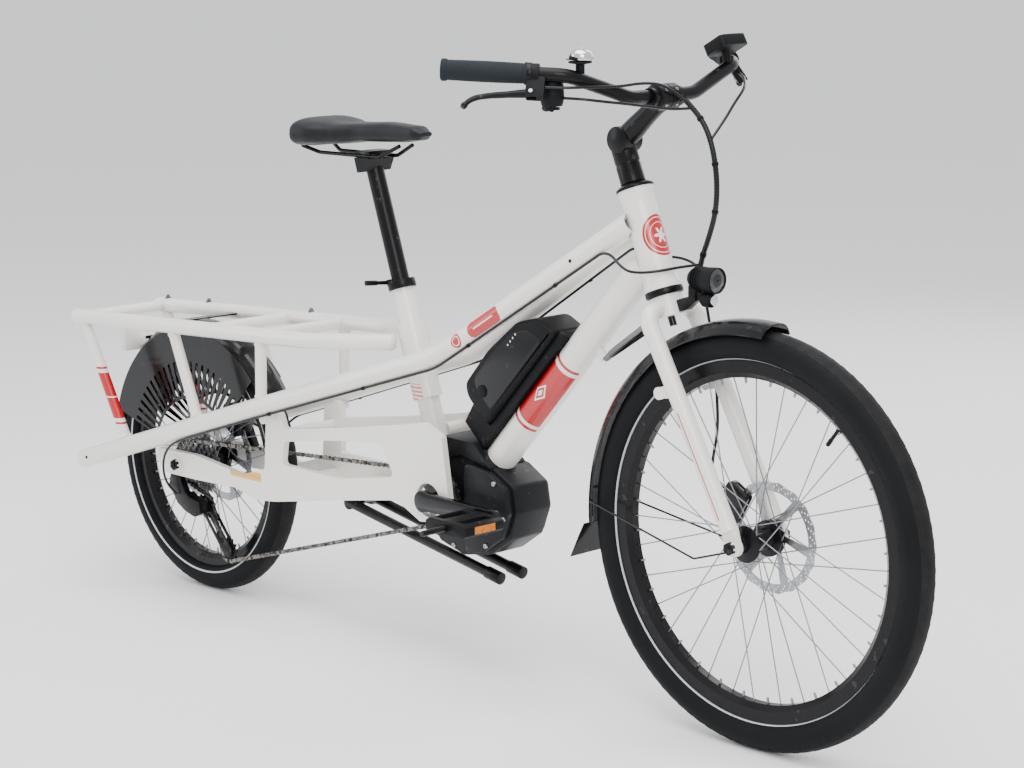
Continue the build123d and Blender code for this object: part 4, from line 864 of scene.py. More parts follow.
def tyre(node, axle, outer, section, inner, finish, body):
    rows = []
    for k in range(49):
        angle = math.radians(-128 + 256 * k / 48)
        rows.append((outer - section + section * math.cos(angle), section * math.sin(angle)))
    rows += [(inner, 0.0125), (inner, -0.0125)]
    made = lathe(node + "_turned", axle, leftWay, rows, 160, finish, closed=True)
    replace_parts(made, node)
    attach(made, body)
    blocks = int(tyreLook["treadBlocks"] * outer / 0.3345)
    cells = []
    for row, side in ((0, 0.0), (1, 0.0105), (2, -0.0105), (3, 0.0192), (4, -0.0192)):
        angle = math.asin(side / section)
        radius = outer - section + section * math.cos(angle) - 0.0006
        size = (tyreLook["blockHeight"], tyreLook["blockWidth"] * (1 - 0.25 * (row > 2)),
            tyreLook["blockLength"])
        cell = shaped("block", cuboid(size, (0, 0, 0)), outward=False)
        tilt = Matrix.Rotation(angle, 4, "Z")
        cell.data.transform(Matrix.Translation((0, side, 0)) @ tilt @ Matrix.Rotation(0.35 * (-1) ** row, 4,
            "X"))
        start = fullTurn / blocks * 0.5 * (row % 2)
        cells.append(ringOf("treadRow", cell, blocks, radius, axle, finish, start))
    tread = joined(node + "_tread", cells, finish)
    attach(tread, body)


tyre("front_tyre", frontAxle, 0.3345, 0.027, 0.2866, frontRubber, "front_wheel")
tyre("rear_tyre", rearAxle, 0.258, 0.027, 0.2101, rearRubber, "rear_wheel")
print("tyres turned")

# ---- rotors with vents, on six arms
rotorLook = {"arms": 6, "ventRows": (0.0785, 0.0825, 0.0865), "vents": 36, "ventRadius": 0.0017}


def rotor(node, axle, finish, body):
    outer = []
    for k in range(180):
        wave = 0.0011 * math.cos(18 * fullTurn * k / 180)
        outer.append(polar(0.0888 + wave, fullTurn * k / 180))
    holes = [circle(0, 0, 0.0162, 40)]
    arms, rows = rotorLook["arms"], rotorLook["ventRows"]
    for k in range(rotorLook["vents"]):
        turn = fullTurn * k / rotorLook["vents"]
        for n, radius in enumerate(rows):
            holes.append(circle(*polar(radius, turn + n * 0.055), rotorLook["ventRadius"], 8))
    for k in range(arms):
        start, end = fullTurn * (k + 0.10) / arms, fullTurn * (k + 0.90) / arms
        window = [polar(0.0745, start + (end - start) * s / 8 + 0.16) for s in range(9)]
        window += [polar(0.0285, end - (end - start) * (0.1 + 0.8 * s / 5) - 0.06) for s in range(6)]
        holes.append(window)
    place = Matrix.Translation((axle.x, 0.035, axle.z)) @ Matrix.Rotation(math.radians(-90), 4, "X")
    made = cutPlate(node + "_vented", outer, holes, 0.0018, finish, place)
    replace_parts(made, node)
    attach(made, body)
    spots = [(axle + Vector((0.022 * math.cos(a), 0, 0.022 * math.sin(a)))
              + leftWay * (0.0359 - axle.y), tuple(leftWay)) for a in (fullTurn * k / 6 for k in range(6))]
    bolts(node + "_bolts", spots, body, 0.0032, 0.0018)


rotor("front_rotor", frontAxle, frontDisc, "front_wheel")
rotor("rear_rotor", rearAxle, rearDisc, "rear_wheel")
print("rotors cut")

# ---- spoke nipples and valves
wheelLook = {"spokes": 32, "nippleRadius": 0.0022, "nippleLength": 0.011}


def wheelSmalls(name, axle, rimInner, body):
    nipple = lathe("nipple", (0, 0, 0), (-1, 0, 0), [
        (0, 0), (wheelLook["nippleRadius"], 0), (wheelLook["nippleRadius"], wheelLook["nippleLength"] * 0.8),
        (0.0014, wheelLook["nippleLength"]), (0, wheelLook["nippleLength"])], 10)
    made = ringOf(name + "Nipples", nipple, wheelLook["spokes"], rimInner + 0.001, axle, steel,
                  fullTurn / wheelLook["spokes"] / 2)
    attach(made, body)
    way = Vector((math.cos(0.9), 0, math.sin(0.9)))
    valve = lathe(name + "Valve", axle + way * rimInner, -way, [
        (0, 0), (0.0038, 0), (0.0038, 0.006), (0.003, 0.007), (0.003, 0.026), (0.0036, 0.0265),
        (0.0036, 0.036), (0.0024, 0.0385), (0, 0.0385)], 18, softBlack)
    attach(valve, body)


wheelSmalls("front", frontAxle, 0.258, "front_wheel")
wheelSmalls("rear", rearAxle, 0.188, "rear_wheel")

# ---- toothed wheels of the drive
driveLook = {"pitch": 0.0127, "toothHeight": 0.0034}


def toothed(name, centre, teeth, side, thickness, bore, body, finish, spider=0, windows=0, phase=0.0):
    pitchRadius = driveLook["pitch"] * teeth / fullTurn
    outline = []
    for k in range(teeth):
        turn = fullTurn * (k + phase) / teeth
        step = fullTurn / teeth
        tip = driveLook["toothHeight"] - 0.0006
        for share, rise in ((-0.30, -0.0026), (-0.14, 0.0012), (-0.05, tip), (0.05, tip),
                            (0.14, 0.0012), (0.30, -0.0026), (0.5, -0.0036)):
            outline.append(polar(pitchRadius + rise, turn + share * step))
    holes = [circle(0, 0, bore, 24)]
    for k in range(windows):
        turn = fullTurn * (k + 0.5) / windows
        spread = fullTurn / windows * 0.33
        low, high = bore + 0.004, pitchRadius - 0.0085
        holes.append([polar(high, turn - spread + 2 * spread * s / 6) for s in range(7)]
                     + [polar(low, turn + spread - 2 * spread * s / 6) for s in range(7)])
    place = Matrix.Translation((centre.x, side, centre.z)) @ Matrix.Rotation(math.radians(90), 4, "X")
    made = cutPlate(name, outline, holes, thickness, finish, place)
    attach(made, body)
    return made


cogTeeth = [34, 30, 27, 24, 21, 18, 15, 13]
cogs = []
for place, teeth in enumerate(cogTeeth):
    cog = toothed("cog", rearAxle, teeth, (-45 + (4 - place) * 4.2) * mm, 0.0015, 0.0175, "cassette_unit",
        cogSteel,
                  windows=6 if teeth > 20 else 0, phase=place * 0.37)
    cogs.append(cog)
spacer = lathe("spacer", rearAxle + leftWay * (-0.0595 - rearAxle.y), leftWay, [
    (0.0172, 0), (0.0205, 0), (0.0205, 0.0325), (0.0172, 0.0325)], 40, closed=True)
cogs.append(spacer)
cassette = joined("cassetteStack", cogs, cogSteel)
smooth(cassette, 30)
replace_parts(cassette, "cassette")
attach(cassette, "cassette_unit")
ringCentre = at(722, 0, 303)
ringWheel = toothed("chainringToothed", ringCentre, 22, -0.045, 0.003, 0.0145, "chainring_unit", darkSteel)
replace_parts(ringWheel, "chainring")
for node, centre, body in (("guide_pulley", at(46, 0, 178), "guide_wheel"),
                           ("tension_pulley", at(114, 0, 102), "tension_wheel")):
    pulley = toothed(node + "_toothed", centre, 11, -0.045, 0.0032, 0.004, body, softBlack, windows=5)
    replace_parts(pulley, node)
    cap = lathe(node + "_cap", centre + leftWay * -0.0482, -leftWay, [
        (0, 0), (0.0062, 0), (0.0062, 0.0009), (0.0035, 0.0012), (0, 0.0012)], 20, boltSteel)
    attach(cap, body)
print("drive wheels cut")

# ---- chain of separate links
chainLook = {"plateHalf": 0.0024, "plateThick": 0.0009, "pinRadius": 0.0017}
chainStops = [(0, 258, 42.45, -1), (722, 303, 44.47, -1), (114, 102, 22.23, -1), (46, 178, 22.23, 1)]


def chainLine():
    stops = [(Vector((at(f, 0, u).x, u * mm)), radius * mm * sense) for f, u, radius, sense in chainStops]
    leave, arrive, count = [], [], len(stops)
    for k, (centre, signed) in enumerate(stops):
        after, nextSigned = stops[(k + 1) % count]
        way = after - centre
        angle = math.atan2(way.y, way.x) - math.asin((nextSigned - signed) / way.length)
        normal = Vector((-math.sin(angle), math.cos(angle)))
        leave.append(centre - normal * signed)
        arrive.append(after - normal * nextSigned)
    line = []
    for k in range(count):
        line += [leave[k].lerp(arrive[k], s / 40) for s in range(40)]
        centre, signed = stops[(k + 1) % count]
        start, end = arrive[k] - centre, leave[(k + 1) % count] - centre
        first = math.atan2(start.y, start.x)
        sweep = (math.atan2(end.y, end.x) - first) % fullTurn
        if signed < 0:
            sweep -= fullTurn
        line += [centre + Vector(polar(abs(signed), first + sweep * s / 40)) for s in range(40)]
    return line


def chainLink(outer):
    half, pitch = driveLook["pitch"] / 2, driveLook["pitch"]
    ends = [(half * sign, 0) for sign in (-1, 1)]
    shape = []
    for sign in (1, -1):
        for s in range(7):
            turn = -math.pi / 2 * sign + math.pi * s / 6
            shape.append((half * sign + 0.0040 * math.cos(turn), 0.0040 * math.sin(turn)))
        shape.append((0, 0.0027 * sign))
    side = 0.0023 if outer else 0.0013
    parts = []
    for sign in (-1, 1):
        place = Matrix.Translation((0, side * sign, 0)) @ Matrix.Rotation(math.radians(90), 4, "X")
        parts.append(cutPlate("linkPlate", shape, [], chainLook["plateThick"], None, place))
    if outer:
        for x, _ in ends:
            parts.append(lathe("pin", (x, -0.0031, 0), (0, 1, 0), [(0, 0), (chainLook["pinRadius"], 0),
                         (chainLook["pinRadius"], 0.0062), (0, 0.0062)], 8))
    else:
        for x, _ in ends:
            parts.append(lathe("roller", (x, -0.0009, 0), (0, 1, 0), [(0, 0), (0.0036, 0), (0.0036, 0.0018),
                         (0, 0.0018)], 12))
    return joined("chainLink", parts)


pathCurve = bpy.data.curves.new("chainPath", "CURVE")
pathCurve.dimensions = "3D"
pathSpline = pathCurve.splines.new("POLY")
linePoints = chainLine()
pathSpline.points.add(len(linePoints) - 1)
for target, point in zip(pathSpline.points, linePoints):
    target.co = (point.x, -0.045, point.y, 1)
pathSpline.use_cyclic_u = True
length = sum((b - a).length for a, b in zip(linePoints, linePoints[1:] + linePoints[:1]))
linkCount = 2 * round(length / driveLook["pitch"] / 2)
chainMade = grow("chainLinks", loopTree, {
    "Path": meshObject("chainPath", pathCurve), "Outer": chainLink(True), "Inner": chainLink(False),
    "Count": linkCount, "Finish": chainSteel})
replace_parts(chainMade, "chain")
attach(chainMade, "frame")
print("chain linked", linkCount)

# ---- saddle: padded top over a plain base
saddleLook = {"rows": 44, "sides": 32}
saddleLow = 895.8
saddlePlan = [(340, 30), (348, 58), (372, 78), (405, 75), (445, 54), (500, 34), (580, 24), (630, 21),
    (651, 12)]
saddleTop = [(340, 34), (350, 43), (375, 48), (450, 41), (560, 46), (630, 43), (651, 33)]
saddleUnder = [(340, 24), (348, 4), (370, -4), (440, 2), (520, 10), (600, 13), (640, 18), (651, 26)]


def saddleShell():
    bm = bmesh.new()
    rings = []
    count = saddleLook["rows"]
    for r in range(count + 1):
        share = r / count
        x = 340.6 + (650.6 - 340.6) * (0.5 - 0.5 * math.cos(math.pi * share))
        width = easedValue(saddlePlan, x) * (1.0 if 0 < r < count else 0.6)
        top, low = easedValue(saddleTop, x), easedValue(saddleUnder, x)
        ring = []
        for k in range(saddleLook["sides"]):
            a = fullTurn * k / saddleLook["sides"]
            c, s = math.cos(a), math.sin(a)
            y = width * math.copysign(abs(c) ** 0.62, c)
            edge = low + (top - low) * 0.45
            if s >= 0:
                channel = 2.2 * math.exp(-(y / 9) ** 2) * math.exp(-((x - 465) / 60) ** 2)
                z = edge + (top - edge) * abs(s) ** 0.7 - channel
            else:
                z = edge - (edge - low) * abs(s) ** 0.75
            ring.append(bm.verts.new(at(x, y, saddleLow + z)))
        rings.append(ring)
    for lower, upper in zip(rings, rings[1:]):
        for k in range(len(lower)):
            n = (k + 1) % len(lower)
            bm.faces.new((lower[k], lower[n], upper[n], upper[k]))
    for ring in (rings[0][::-1], rings[-1]):
        bm.faces.new(ring)
    return shaped("saddlePad", bm, saddleCover, 60)


saddlePad = saddleShell()
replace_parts(saddlePad, "saddle")
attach(saddlePad, "seat")
print("saddle padded")

# ---- cables and hoses
hoseLook = {"bundle": 0.0045, "hose": 0.0025, "cable": 0.0023, "ribPitch": 0.0021, "ribDepth": 0.0003}
bundleRoute = [(1229, 22, 1008), (1253, 30, 985), (1273, 34, 946), (1283, 36, 890), (1281, 36, 838),
    (1266, 36, 794),
               (1250, 38, 762), (1243, 40, 738)]
frontRoute = [(1242.8, 40, 737), (1238, 56, 706), (1234, 74, 656), (1242, 75.5, 598), (1254, 71, 536),
    (1264, 62, 480),
              (1264, 50, 440), (1272, 38, 417), (1288, 34, 407.8), (1306.9, 34, 396.9)]
barRoutes = {
    "rightHose": [(1163.4, -221, 1039.4), (1184, -203, 1038), (1204, -166, 1038), (1213, -112, 1036),
    (1218, -62, 1040),
                  (1227, -16, 1034), (1233, 23.3, 1004)],
    "shiftCable": [(1171.4, -189.5, 1021.3), (1196, -180, 1021), (1212, -150, 1016), (1222, -104, 1010),
                   (1231, -52, 1002), (1233, -8, 996), (1241, 26, 996.5)],
    "leftHose": [(1163.4, 221, 1039.4), (1186, 202, 1038), (1214, 180, 1034), (1242, 148, 1021),
    (1254, 110, 1001),
                 (1266, 74, 978), (1272.5, 34.5, 950)]}
rightCable = [(1246.5, 39, 750), (1231, 10, 748), (1214, -24, 743), (1192, -43, 740), (1160, -46, 741),
              (1112.2, -34.4, 769.5), (725.2, -58, 532.1), (306.2, -112, 398.7), (66.2, -112, 322.4),
              (28, -112, 306),
              (0, -107, 282), (-16, -100, 252), (-20, -92, 226), (-13, -83, 207), (-6, -77, 198)]
leftCable = [(1244.5, 39.6, 743), (1226, 45, 751), (1196, 43, 757), (1160, 43, 754), (1112.2, 34.4, 769.5),
             (725.2, 58, 532.1), (306.2, 112, 398.7), (136.2, 112, 344.6), (110, 108, 324), (88, 94, 312),
             (66, 76, 314), (47, 60, 334)]


def filled(points):       # extra points on the runs clipped along the rails, which hold the cable straight
    line = [Vector(points[0])]
    for first, second in zip(points, points[1:]):
        first, second = Vector(first), Vector(second)
        pieces = max(1, round((second - first).length / 45))
        line += [first.lerp(second, s / pieces) for s in range(1, pieces + 1)]
    return [at(*point) for point in line]


def laid(route, steps=14):
    return splinePoints([at(*point) for point in route], steps)


bundleLine = laid(bundleRoute, 24)
bundle = tube("hoseBundle", bundleLine, hoseLook["bundle"], hoseBlack, 14,
              (hoseLook["ribPitch"] * 2.4, hoseLook["ribDepth"]))
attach(bundle, "steering_unit")
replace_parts(bundle, "steering_hoses")
frontHose = tube("frontBrakeHose", laid(frontRoute), hoseLook["hose"], hoseBlack)
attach(frontHose, "steering_unit")
for name, route in barRoutes.items():
    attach(tube(name, laid(route), hoseLook["cable"], hoseBlack), "steering_unit")
for name, route in (("rightFrameCable", rightCable), ("leftFrameCable", leftCable)):
    cable = tube(name, splinePoints(filled(route)), hoseLook["cable"], hoseBlack)
    if name == "rightFrameCable":
        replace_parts(cable, "frame_cables")
    at(1160, 0, 745)
    at(1240, 0, 745)
    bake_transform(cable)


def collars(name, spots, radius, length, finish, body):
    made = cellsAt(name, lathe("collar", (0, 0, -length / 2), (0, 0, 1), [
        (radius * 0.6, 0), (radius, length * 0.1), (radius, length * 0.9), (radius * 0.6, length)], 16,
        closed=True),
        spots, finish)
    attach(made, body)


def placesOn(points, spacing, start=0.5):     # spots along a route, each with the route's direction
    spots, travelled, want = [], 0.0, spacing * start
    for first, second in zip(points, points[1:]):
        span = (second - first).length
        while travelled + span >= want:
            spots.append((first.lerp(second, (want - travelled) / span),
                tuple((second - first).normalized())))
            want += spacing
        travelled += span
    return spots


railTies = []
for side in (-1, 1):
    for forward, up in ((1000, 0), (800, 0), (560, 0), (330, 0)):
        if forward > 719:
            t = (forward - 719) / (1112.2 - 719)
            middlePoint = at(725.2 + (1112.2 - 725.2) * t, side * (58 - 23.6 * t), 532.1 + 237.4 * t)
        else:
            t = (forward - 306.2) / (725.2 - 306.2)
            middlePoint = at(forward, side * (112 - 54 * t), 398.7 + 133.4 * t)
        railTies.append((middlePoint, tuple((railWay if forward > 719 else Vector((0.95, -side * 0.122,
            0.303))))))
collars("cableClips", railTies, 0.0034, 0.007, softBlack, "frame")
collars("bundleClips", placesOn(bundleLine, 0.075), 0.0056, 0.006, softBlack, "steering_unit")
print("hoses laid")

# ---- stabiliser coil over its rod
springLook = {"coils": 26, "wire": 0.0013, "radius": 0.0052}


def coil(name, start, end, finish):
    place = turnTo(start, end - start)
    length = (end - start).length
    steps = springLook["coils"] * 14
    line = [place @ Vector((springLook["radius"] * math.cos(fullTurn * springLook["coils"] * s / steps),
                            springLook["radius"] * math.sin(fullTurn * springLook["coils"] * s / steps),
                            length * s / steps)) for s in range(steps + 1)]
    return tube(name, line, springLook["wire"], finish, 8)


springMesh = frame["nodes"]["stabiliser_spring"].data
points = [v.co.copy() for v in springMesh.vertices]
first = min(points, key=lambda p: p.x)
last = max(points, key=lambda p: p.x)
axisStart, axisEnd = Vector((first.x, 0, first.z)), Vector((last.x, 0, last.z))
run = axisEnd - axisStart
spring = coil("stabiliserCoil", axisStart + run * 0.1, axisStart + run * 0.9, satinBlack)
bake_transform(spring)
dress(darkSteel, "stabiliser_spring")

# ---- grips with ribs
gripLook = {"ribs": 26, "radius": 0.0158, "rib": 0.0009}


def grip(side):
    foot, head = at(1181, side * 190, 1056), at(1034, side * 315, 1066)
    way = (head - foot).normalized()
    start = head - way * 0.132
    profile = [(0, 0.0), (0.0172, 0.0), (0.0175, 0.003), (0.0158, 0.005)]
    for k in range(gripLook["ribs"] * 4 + 1):
        t = k / (gripLook["ribs"] * 4)
        swell = gripLook["rib"] * (0.5 - 0.5 * math.cos(fullTurn * gripLook["ribs"] * t))
        palm = 0.0007 * math.sin(math.pi * t)
        profile.append((gripLook["radius"] - 0.0006 + swell * 0.8 + palm, 0.0065 + 0.113 * t))
    profile += [(0.0158, 0.122), (0.0172, 0.124), (0.0172, 0.1305), (0.0150, 0.132), (0, 0.132)]
    made = lathe("gripLeft" if side > 0 else "gripRight", start, way, profile, 36, gripGrey)
    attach(made, "steering_unit")
    ring = lathe("gripRingLeft" if side > 0 else "gripRingRight", start, way, [
        (0.0122, -0.0065), (0.0168, -0.0065), (0.0171, -0.005), (0.0171, -0.001), (0.0168, 0.0005),
        (0.0122, 0.0005)],
        36, satinBlack, closed=True)
    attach(ring, "steering_unit")
    return made


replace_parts(grip(-1), "grips")
grip(1)

# ---- bell
bellSeat = at(1183, -165, 1047.6)
barWay = (at(1034, -315, 1066) - at(1181, -190, 1056)).normalized()
bellWay = (Vector((0, 0, 1)) - barWay * barWay.z).normalized()
dome = lathe("bellDome", bellSeat, bellWay, [
    (0.0172, 0.0313), (0.0176, 0.0325), (0.0175, 0.037), (0.0158, 0.0422), (0.0118, 0.0458), (0.006, 0.0476),
    (0.0026, 0.0480), (0.0022, 0.0494), (0, 0.0496)], 48, bellSilver)
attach(dome, "steering_unit")

# ---- headlight: bowl, clear lens and its grid
lampSeat = at(1262, 0, 735)
ahead = Vector((1, 0, 0))
for name, finish, profile in (
        ("headlightShell", softBlack, [
            (0, 0), (0.009, 0), (0.0112, 0.0015), (0.0135, 0.006), (0.0165, 0.008), (0.0185, 0.026),
            (0.0205, 0.044),
            (0.0207, 0.0545), (0.0192, 0.0553), (0.0185, 0.053), (0.012, 0.036), (0, 0.034)]),
        ("headlightBowl", chromeCup, [
            (0.0182, 0.0525), (0.0150, 0.0440), (0.0085, 0.0385), (0.003, 0.0372), (0, 0.0370)]),
        ("headlightLens", clearLens, [
            (0, 0.0548), (0.012, 0.0544), (0.0184, 0.0530), (0.0186, 0.0520), (0.012, 0.0532), (0, 0.0535)])):
    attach(lathe(name, lampSeat, ahead, profile, 48, finish), "front_lamp")
fins = [(lampSeat + ahead * (0.012 + 0.005 * k), tuple(ahead)) for k in range(5)]
finCell = lathe("fin", (0, 0, 0), (0, 0, 1), [
    (0.0150, 0), (0.0196, 0), (0.0196, 0.0016), (0.0150, 0.0016)], 32, closed=True)
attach(cellsAt("headlightFins", finCell, fins, softBlack), "front_lamp")
reflector = lathe("headlightReflector", lampSeat + Vector((0.024, 0, -0.0315)), ahead, [
    (0, 0.0252), (0.0082, 0.0248), (0.0086, 0.024), (0, 0.024)], 32, chromeCup)
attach(reflector, "front_lamp")
print("cockpit dressed")

# ---- pedals: a reflector on each end of the rubber body
pedalLook = {"thick": 0.0024, "width": 0.046, "height": 0.0125}
for node, body in (("pedal_right", "right_pedal"), ("pedal_left", "left_pedal")):
    eased(softBlack, node, width=0.0015)
    low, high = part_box(node)
    middlePoint = (low + high) / 2
    halfX = (high.x - low.x) / 2
    parts = []
    for sign in (-1, 1):
        centre = middlePoint + Vector((sign * (halfX - 0.0008), 0, 0))
        parts.append(shaped("reflector", cuboid(tuple(pedalLook.values()), centre), outward=False))
    made = joined(node + "_reflectors", parts, amber)
    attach(made, body)

# ---- bolts
right = (0, -1, 0)
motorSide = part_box("motor_housing")[0].y - 0.0002
motorSpots = [(Vector((at(f, 0, z).x, motorSide, at(f, 0, z).z)), right)
              for f, z in ((700, 262), (760, 226), (840, 238), (884, 292), (862, 350))]
bolts("motorBolts", motorSpots, "frame", 0.0042, 0.0035)
stemSpots = [(at(1219, side * 12, z), (0.9, 0, 0.35)) for side in (-1, 1) for z in (1003, 1026)]
bolts("stemBolts", stemSpots, "steering_unit", 0.0028, 0.003)
print("bolts set")

lightSpots = [(onDown(200 + 9 * k, 96, -42.2), right) for k in range(4)]
charge = cellsAt("chargeLights", lightCell, lightSpots, chromeCup)
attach(charge, "battery_pack")
portCell = lathe("portCell", (0, 0, 0), (0, 0, 1), [
    (0, 0), (0.011, 0), (0.011, 0.0016), (0.009, 0.0028), (0, 0.003)], 32)
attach(cellsAt("chargePort", portCell, [(onDown(92, 84, -41.8), right)], softBlack), "battery_pack")

# ---- display screen
screenTilt = math.radians(28)
screenUp = Vector((-math.sin(screenTilt), 0, math.cos(screenTilt)))
screenAhead = Vector((math.cos(screenTilt), 0, math.sin(screenTilt)))
screenCentre = at(1180, 172, 1086) + screenUp * 0.0088 + screenAhead * 0.004
glassShape = [(sx * 0.017 + cx, sy * 0.016 + cy) for sx, sy, cx, cy in (
    (1, 1, 0, 0.002), (1, 1, 0.002, 0), (1, -1, 0.002, 0), (1, -1, 0, -0.002),
    (-1, -1, 0, -0.002), (-1, -1, -0.002, 0), (-1, 1, -0.002, 0), (-1, 1, 0, 0.002))]
glassPlace = Matrix.Translation(screenCentre) @ Matrix((screenAhead, leftWay, screenUp)).transposed().to_4x4()
glass = cutPlate("displayScreen", glassShape, [], 0.0012, screenGlass, glassPlace)
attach(glass, "steering_unit")

# ---- rear light lens
lightLow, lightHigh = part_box("rear_light")
bm = cuboid((0.004, (lightHigh.y - lightLow.y) * 0.62, 0.024), (lightLow.x + 0.0015, 0, lightHigh.z - 0.022))
bmesh.ops.bevel(bm, geom=bm.edges, offset=0.0012, segments=2, affect="EDGES")
rearLens = shaped("rearLightLens", bm, redLens, outward=False)
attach(rearLens, "frame")

# ---- rear bracket slots, rack studs, rail liners, welds and nuts
def block(name, low, high, finish, ease=0.001):
    bm = cuboid(Vector(high) - Vector(low), (Vector(low) + Vector(high)) / 2)
    bmesh.ops.bevel(bm, geom=bm.edges, offset=ease, segments=3, affect="EDGES")
    return shaped(name, bm, finish, 40, outward=False)


slots = []
for y in (-0.026, 0.008):
    for z in (0.012, 0.027):
        foot = Vector((lightHigh.x - 0.0012, y, lightLow.z + z))
        slots.append(block("slot", foot, foot + Vector((0.0016, 0.018, 0.006)), None, 0.0006))
slots = joined("rearBracketSlots", slots, softBlack)
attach(slots, "frame")

studCell = lathe("stud", (0, 0, -0.001), (0, 0, 1), [
    (0, 0), (0.0058, 0), (0.0058, 0.004), (0.0036, 0.005), (0.0036, 0.0085), (0, 0.0088)], 16)
studSpots = [(at(forward, 100, 535 + (forward + 285) * 32 / 725), (0, 0, 1)) for forward in (-253, -117, 203)]
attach(cellsAt("rackStuds", studCell, studSpots, darkSteel), "frame")

railOut = Vector((-0.9530, 0, -0.3030))
for side, label in ((-1, "Right"), (1, "Left")):
    mouth = at(-279, side * 100, 231.3)
    liner = lathe("railLiner" + label, mouth - railOut * 0.022, railOut, [
        (0, 0), (0.0163, 0), (0.0163, 0.002), (0.012, 0.0035), (0, 0.004)], 32, softBlack)
    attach(liner, "frame")
    plugSpot = at(590, side * 36, 559.5)
    plugWay = (at(590, side * 36, 559.5) - at(440, side * 100, 553)).normalized()
    plug = lathe("rackPlug" + label, plugSpot - plugWay * 0.003, plugWay, [
        (0, 0), (0.0146, 0), (0.0146, 0.0035), (0.0125, 0.007), (0.007, 0.0092), (0, 0.0098)], 32,
        paint["plain"])
    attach(plug, "frame")
holeSpots = [(at(-246, -118.4, 241.8), (0, -1, 0)), (at(1040, -45.5, 745.7), (-0.1, -1, 0.1))]
bolts("frameRivets", holeSpots, "frame", 0.0032, 0.0012, satinBlack)

# weld beads: a ring of overlapping ripples where a tube meets its neighbour
beadLook = {"ripples": 46, "rise": 0.0011, "halfWidth": 0.0032}


def weldBead(name, centre, way, radius):
    place = turnTo(centre, way)
    bm = bmesh.new()
    rows = []
    ripples = beadLook["ripples"]
    for k in range(ripples * 3):
        turn = fullTurn * k / (ripples * 3)
        swell = beadLook["rise"] * (1 + 0.35 * math.cos(turn * ripples))
        ring = []
        for s in range(8):
            a = fullTurn * s / 8
            r = radius + swell * math.cos(a)
            lean = 0.0006 * math.cos(turn * ripples)
            ring.append(bm.verts.new(place @ Vector((r * math.cos(turn), r * math.sin(turn),
                                                     beadLook["halfWidth"] * math.sin(a) + lean))))
        rows.append(ring)
    for lower, upper in zip(rows, rows[1:] + rows[:1]):
        for s in range(8):
            bm.faces.new((lower[s], lower[(s + 1) % 8], upper[(s + 1) % 8], upper[s]))
    return shaped(name, bm, paint["plain"], 60)


def weldAt(start, end, share, radius):
    return weldBead("weld", start.lerp(end, share), end - start, radius)


beads = []
for side in (-1, 1):
    for top, foot in ((-262, -126), (30, 106), (300, 296)):
        topPoint = at(top, side * 100, 521 + (top + 285) * 32 / 725)
        footPoint = at(foot, side * 100, 231.3 + (foot + 279) * 0.318)
        span = (footPoint - topPoint).length
        beads.append(weldAt(topPoint, footPoint, 0.0155 / span, 0.0105))
        beads.append(weldAt(topPoint, footPoint, 1 - 0.0195 / span, 0.0105))
for forward in (-262, 140, 300):
    height = 521 + (forward + 285) * 32 / 725
    for side in (-1, 1):
        beads.append(weldAt(at(forward, side * 86.5, height), at(forward, 0, height), 0, 0.011))
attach(joined("weldBeads", beads, paint["plain"]), "frame")

downNeck = lathe("downTubeNeck", downLow + downWay * 0.43, downWay, [
    (0.0276, 0), (0.0280, 0.012), (0.0284, 0.036), (0.0268, 0.058), (0.020, 0.072), (0, 0.076)], 48,
    paint["plain"])
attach(downNeck, "frame")

for name, node, centre, body in (("frontAxleNut", "fork", frontAxle, "steering_unit"),
                                 ("rearAxleNut", "stay_plates", rearAxle, "frame")):
    low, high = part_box(node)
    for edge, way, label in ((low.y, -leftWay, "Right"), (high.y, leftWay, "Left")):
        nut = lathe(name + label, Vector((centre.x, edge, centre.z)) - way * 0.0075, way, [
            (0.0075, 0), (0.0108, 0.0004), (0.0108, 0.0068), (0.0100, 0.0078), (0.0066, 0.0082),
            (0.0060, 0.0102), (0, 0.0106)], 6, satinBlack)
        smooth(nut, 20)
        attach(nut, body)
print("small pieces set")

# ---- floor, light and camera
floorMesh = bpy.data.meshes.new("floor")
floorMesh.from_pydata([(-40, -40, 0), (40, -40, 0), (40, 40, 0), (-40, 40, 0)], [], [(0, 1, 2, 3)])
floorFinish = Finish("paleFloor", Specular_IOR_Level=0.3)
floorFinish.set("Base Color", floorFinish.mix(floorFinish.noise(0.8, 4), rgb(0.93, 0.93, 0.93), rgb(0.89,
    0.89, 0.89)))
floorFinish.set("Roughness", floorFinish.noise(3, 3) * 0.1 + 0.6)
floorFinish.bump(floorFinish.noise(180, 2), 0.0002, 0.3)
floor = meshObject("floor", floorMesh, floorFinish.material)
floor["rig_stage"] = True

world = bpy.data.worlds.new("studio")
bpy.context.scene.world = world
world.use_nodes = True
sky = Graph(world.node_tree)
background = world.node_tree.nodes["Background"]
background.inputs["Color"].default_value = rgb(0.97, 0.98, 1.0)
background.inputs["Strength"].default_value = 1.15


def softBox(name, place, target, size, power, tint=(1, 1, 1)):
    data = bpy.data.lights.new(name, "AREA")
    data.shape, data.size, data.size_y, data.energy, data.color = "RECTANGLE", size[0], size[1], power, tint
    lamp = bpy.data.objects.new(name, data)
    bpy.context.scene.collection.objects.link(lamp)
    lamp.matrix_world = turnTo(Vector(place), Vector(place) - Vector(target))


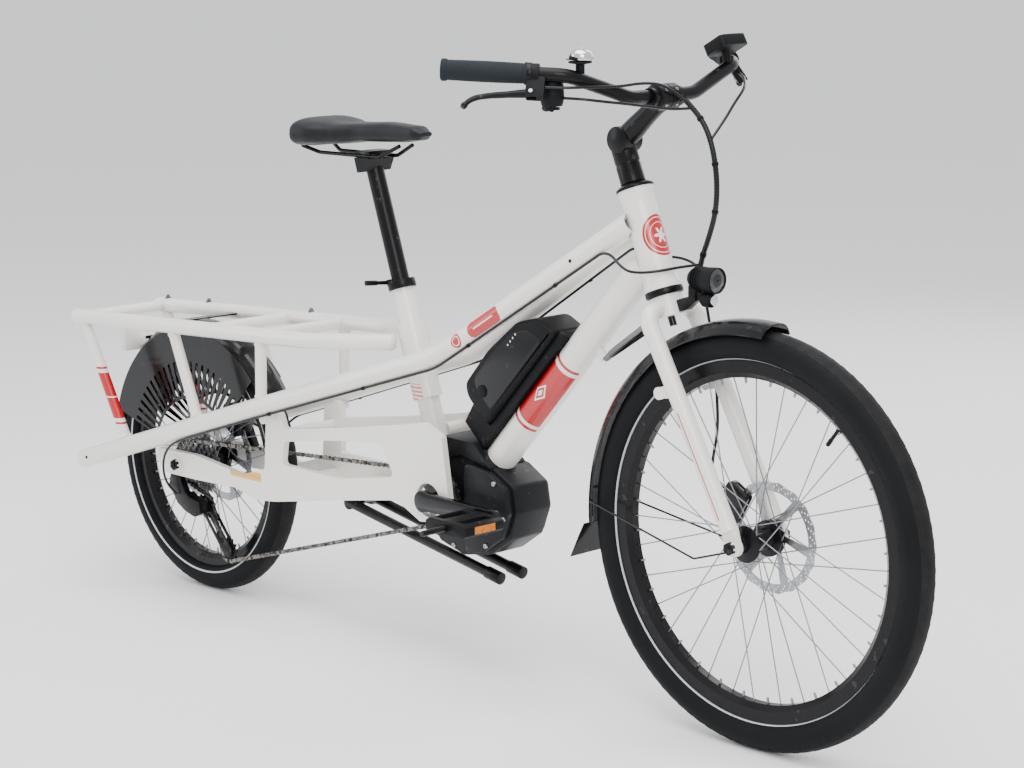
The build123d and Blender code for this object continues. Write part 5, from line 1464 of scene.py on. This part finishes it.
softBox("overhead", (0.3, -0.6, 3.6), (0.1, 0, 0.4), (3.4, 2.6), 150)
softBox("key", (3.2, -2.2, 2.6), (0.2, 0, 0.5), (1.8, 1.8), 75, (1, 0.985, 0.96))
softBox("fill", (-3.0, -2.6, 1.8), (-0.2, 0, 0.4), (2.4, 1.6), 38, (0.95, 0.97, 1))
softBox("back", (-0.6, 3.2, 2.4), (0, 0, 0.6), (3.0, 1.4), 45)

cameraLook = {"azimuth": 46.09, "elevation": 10.62, "roll": -0.63, "lens": 88.44, "sensor": 36.0,
              "place": (3.14795, -2.90507, 1.29933)}
azimuth, elevation, roll = (math.radians(cameraLook[key]) for key in ("azimuth", "elevation", "roll"))
forwardWay = Vector((-math.sin(azimuth) * math.cos(elevation), math.cos(azimuth) * math.cos(elevation),
                     -math.sin(elevation)))
rightWay = Vector((math.cos(azimuth), math.sin(azimuth), 0))
upWay = rightWay.cross(forwardWay)
cameraX = rightWay * math.cos(roll) + upWay * math.sin(roll)
cameraY = upWay * math.cos(roll) - rightWay * math.sin(roll)
cameraData = bpy.data.cameras.new("camera")
cameraData.lens, cameraData.sensor_width = cameraLook["lens"], cameraLook["sensor"]
camera = bpy.data.objects.new("camera", cameraData)
bpy.context.scene.collection.objects.link(camera)
camera.matrix_world = (Matrix.Translation(cameraLook["place"])
                       @ Matrix((cameraX, cameraY, -forwardWay)).transposed().to_4x4())
bpy.context.scene.camera = camera

slotOf = {
    "frameWhite": "frame_white", "satinBlack": "black_satin", "mouldedBlack": "black_plastic",
    "glossBlack": "black_gloss", "castMotorGrey": "motor_grey", "frontTyreRubber": "tyre_rubber",
    "rearTyreRubber": "tyre_rubber", "rimBlack": "rim_black", "frontDiscSteel": "rotor_steel",
    "rearDiscSteel": "rotor_steel", "cogSteel": "cog_steel", "chainSteel": "chain_steel",
    "gripSlate": "grip_rubber", "saddleCover": "saddle_cover", "hoseBlack": "hose_black",
    "brightSteel": "spoke_steel", "redReflector": "light_red"}
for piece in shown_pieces():
    finish = piece.data.materials[0].name if piece.data.materials and piece.data.materials[0] else ""
    "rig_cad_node" not in piece and finish in slotOf
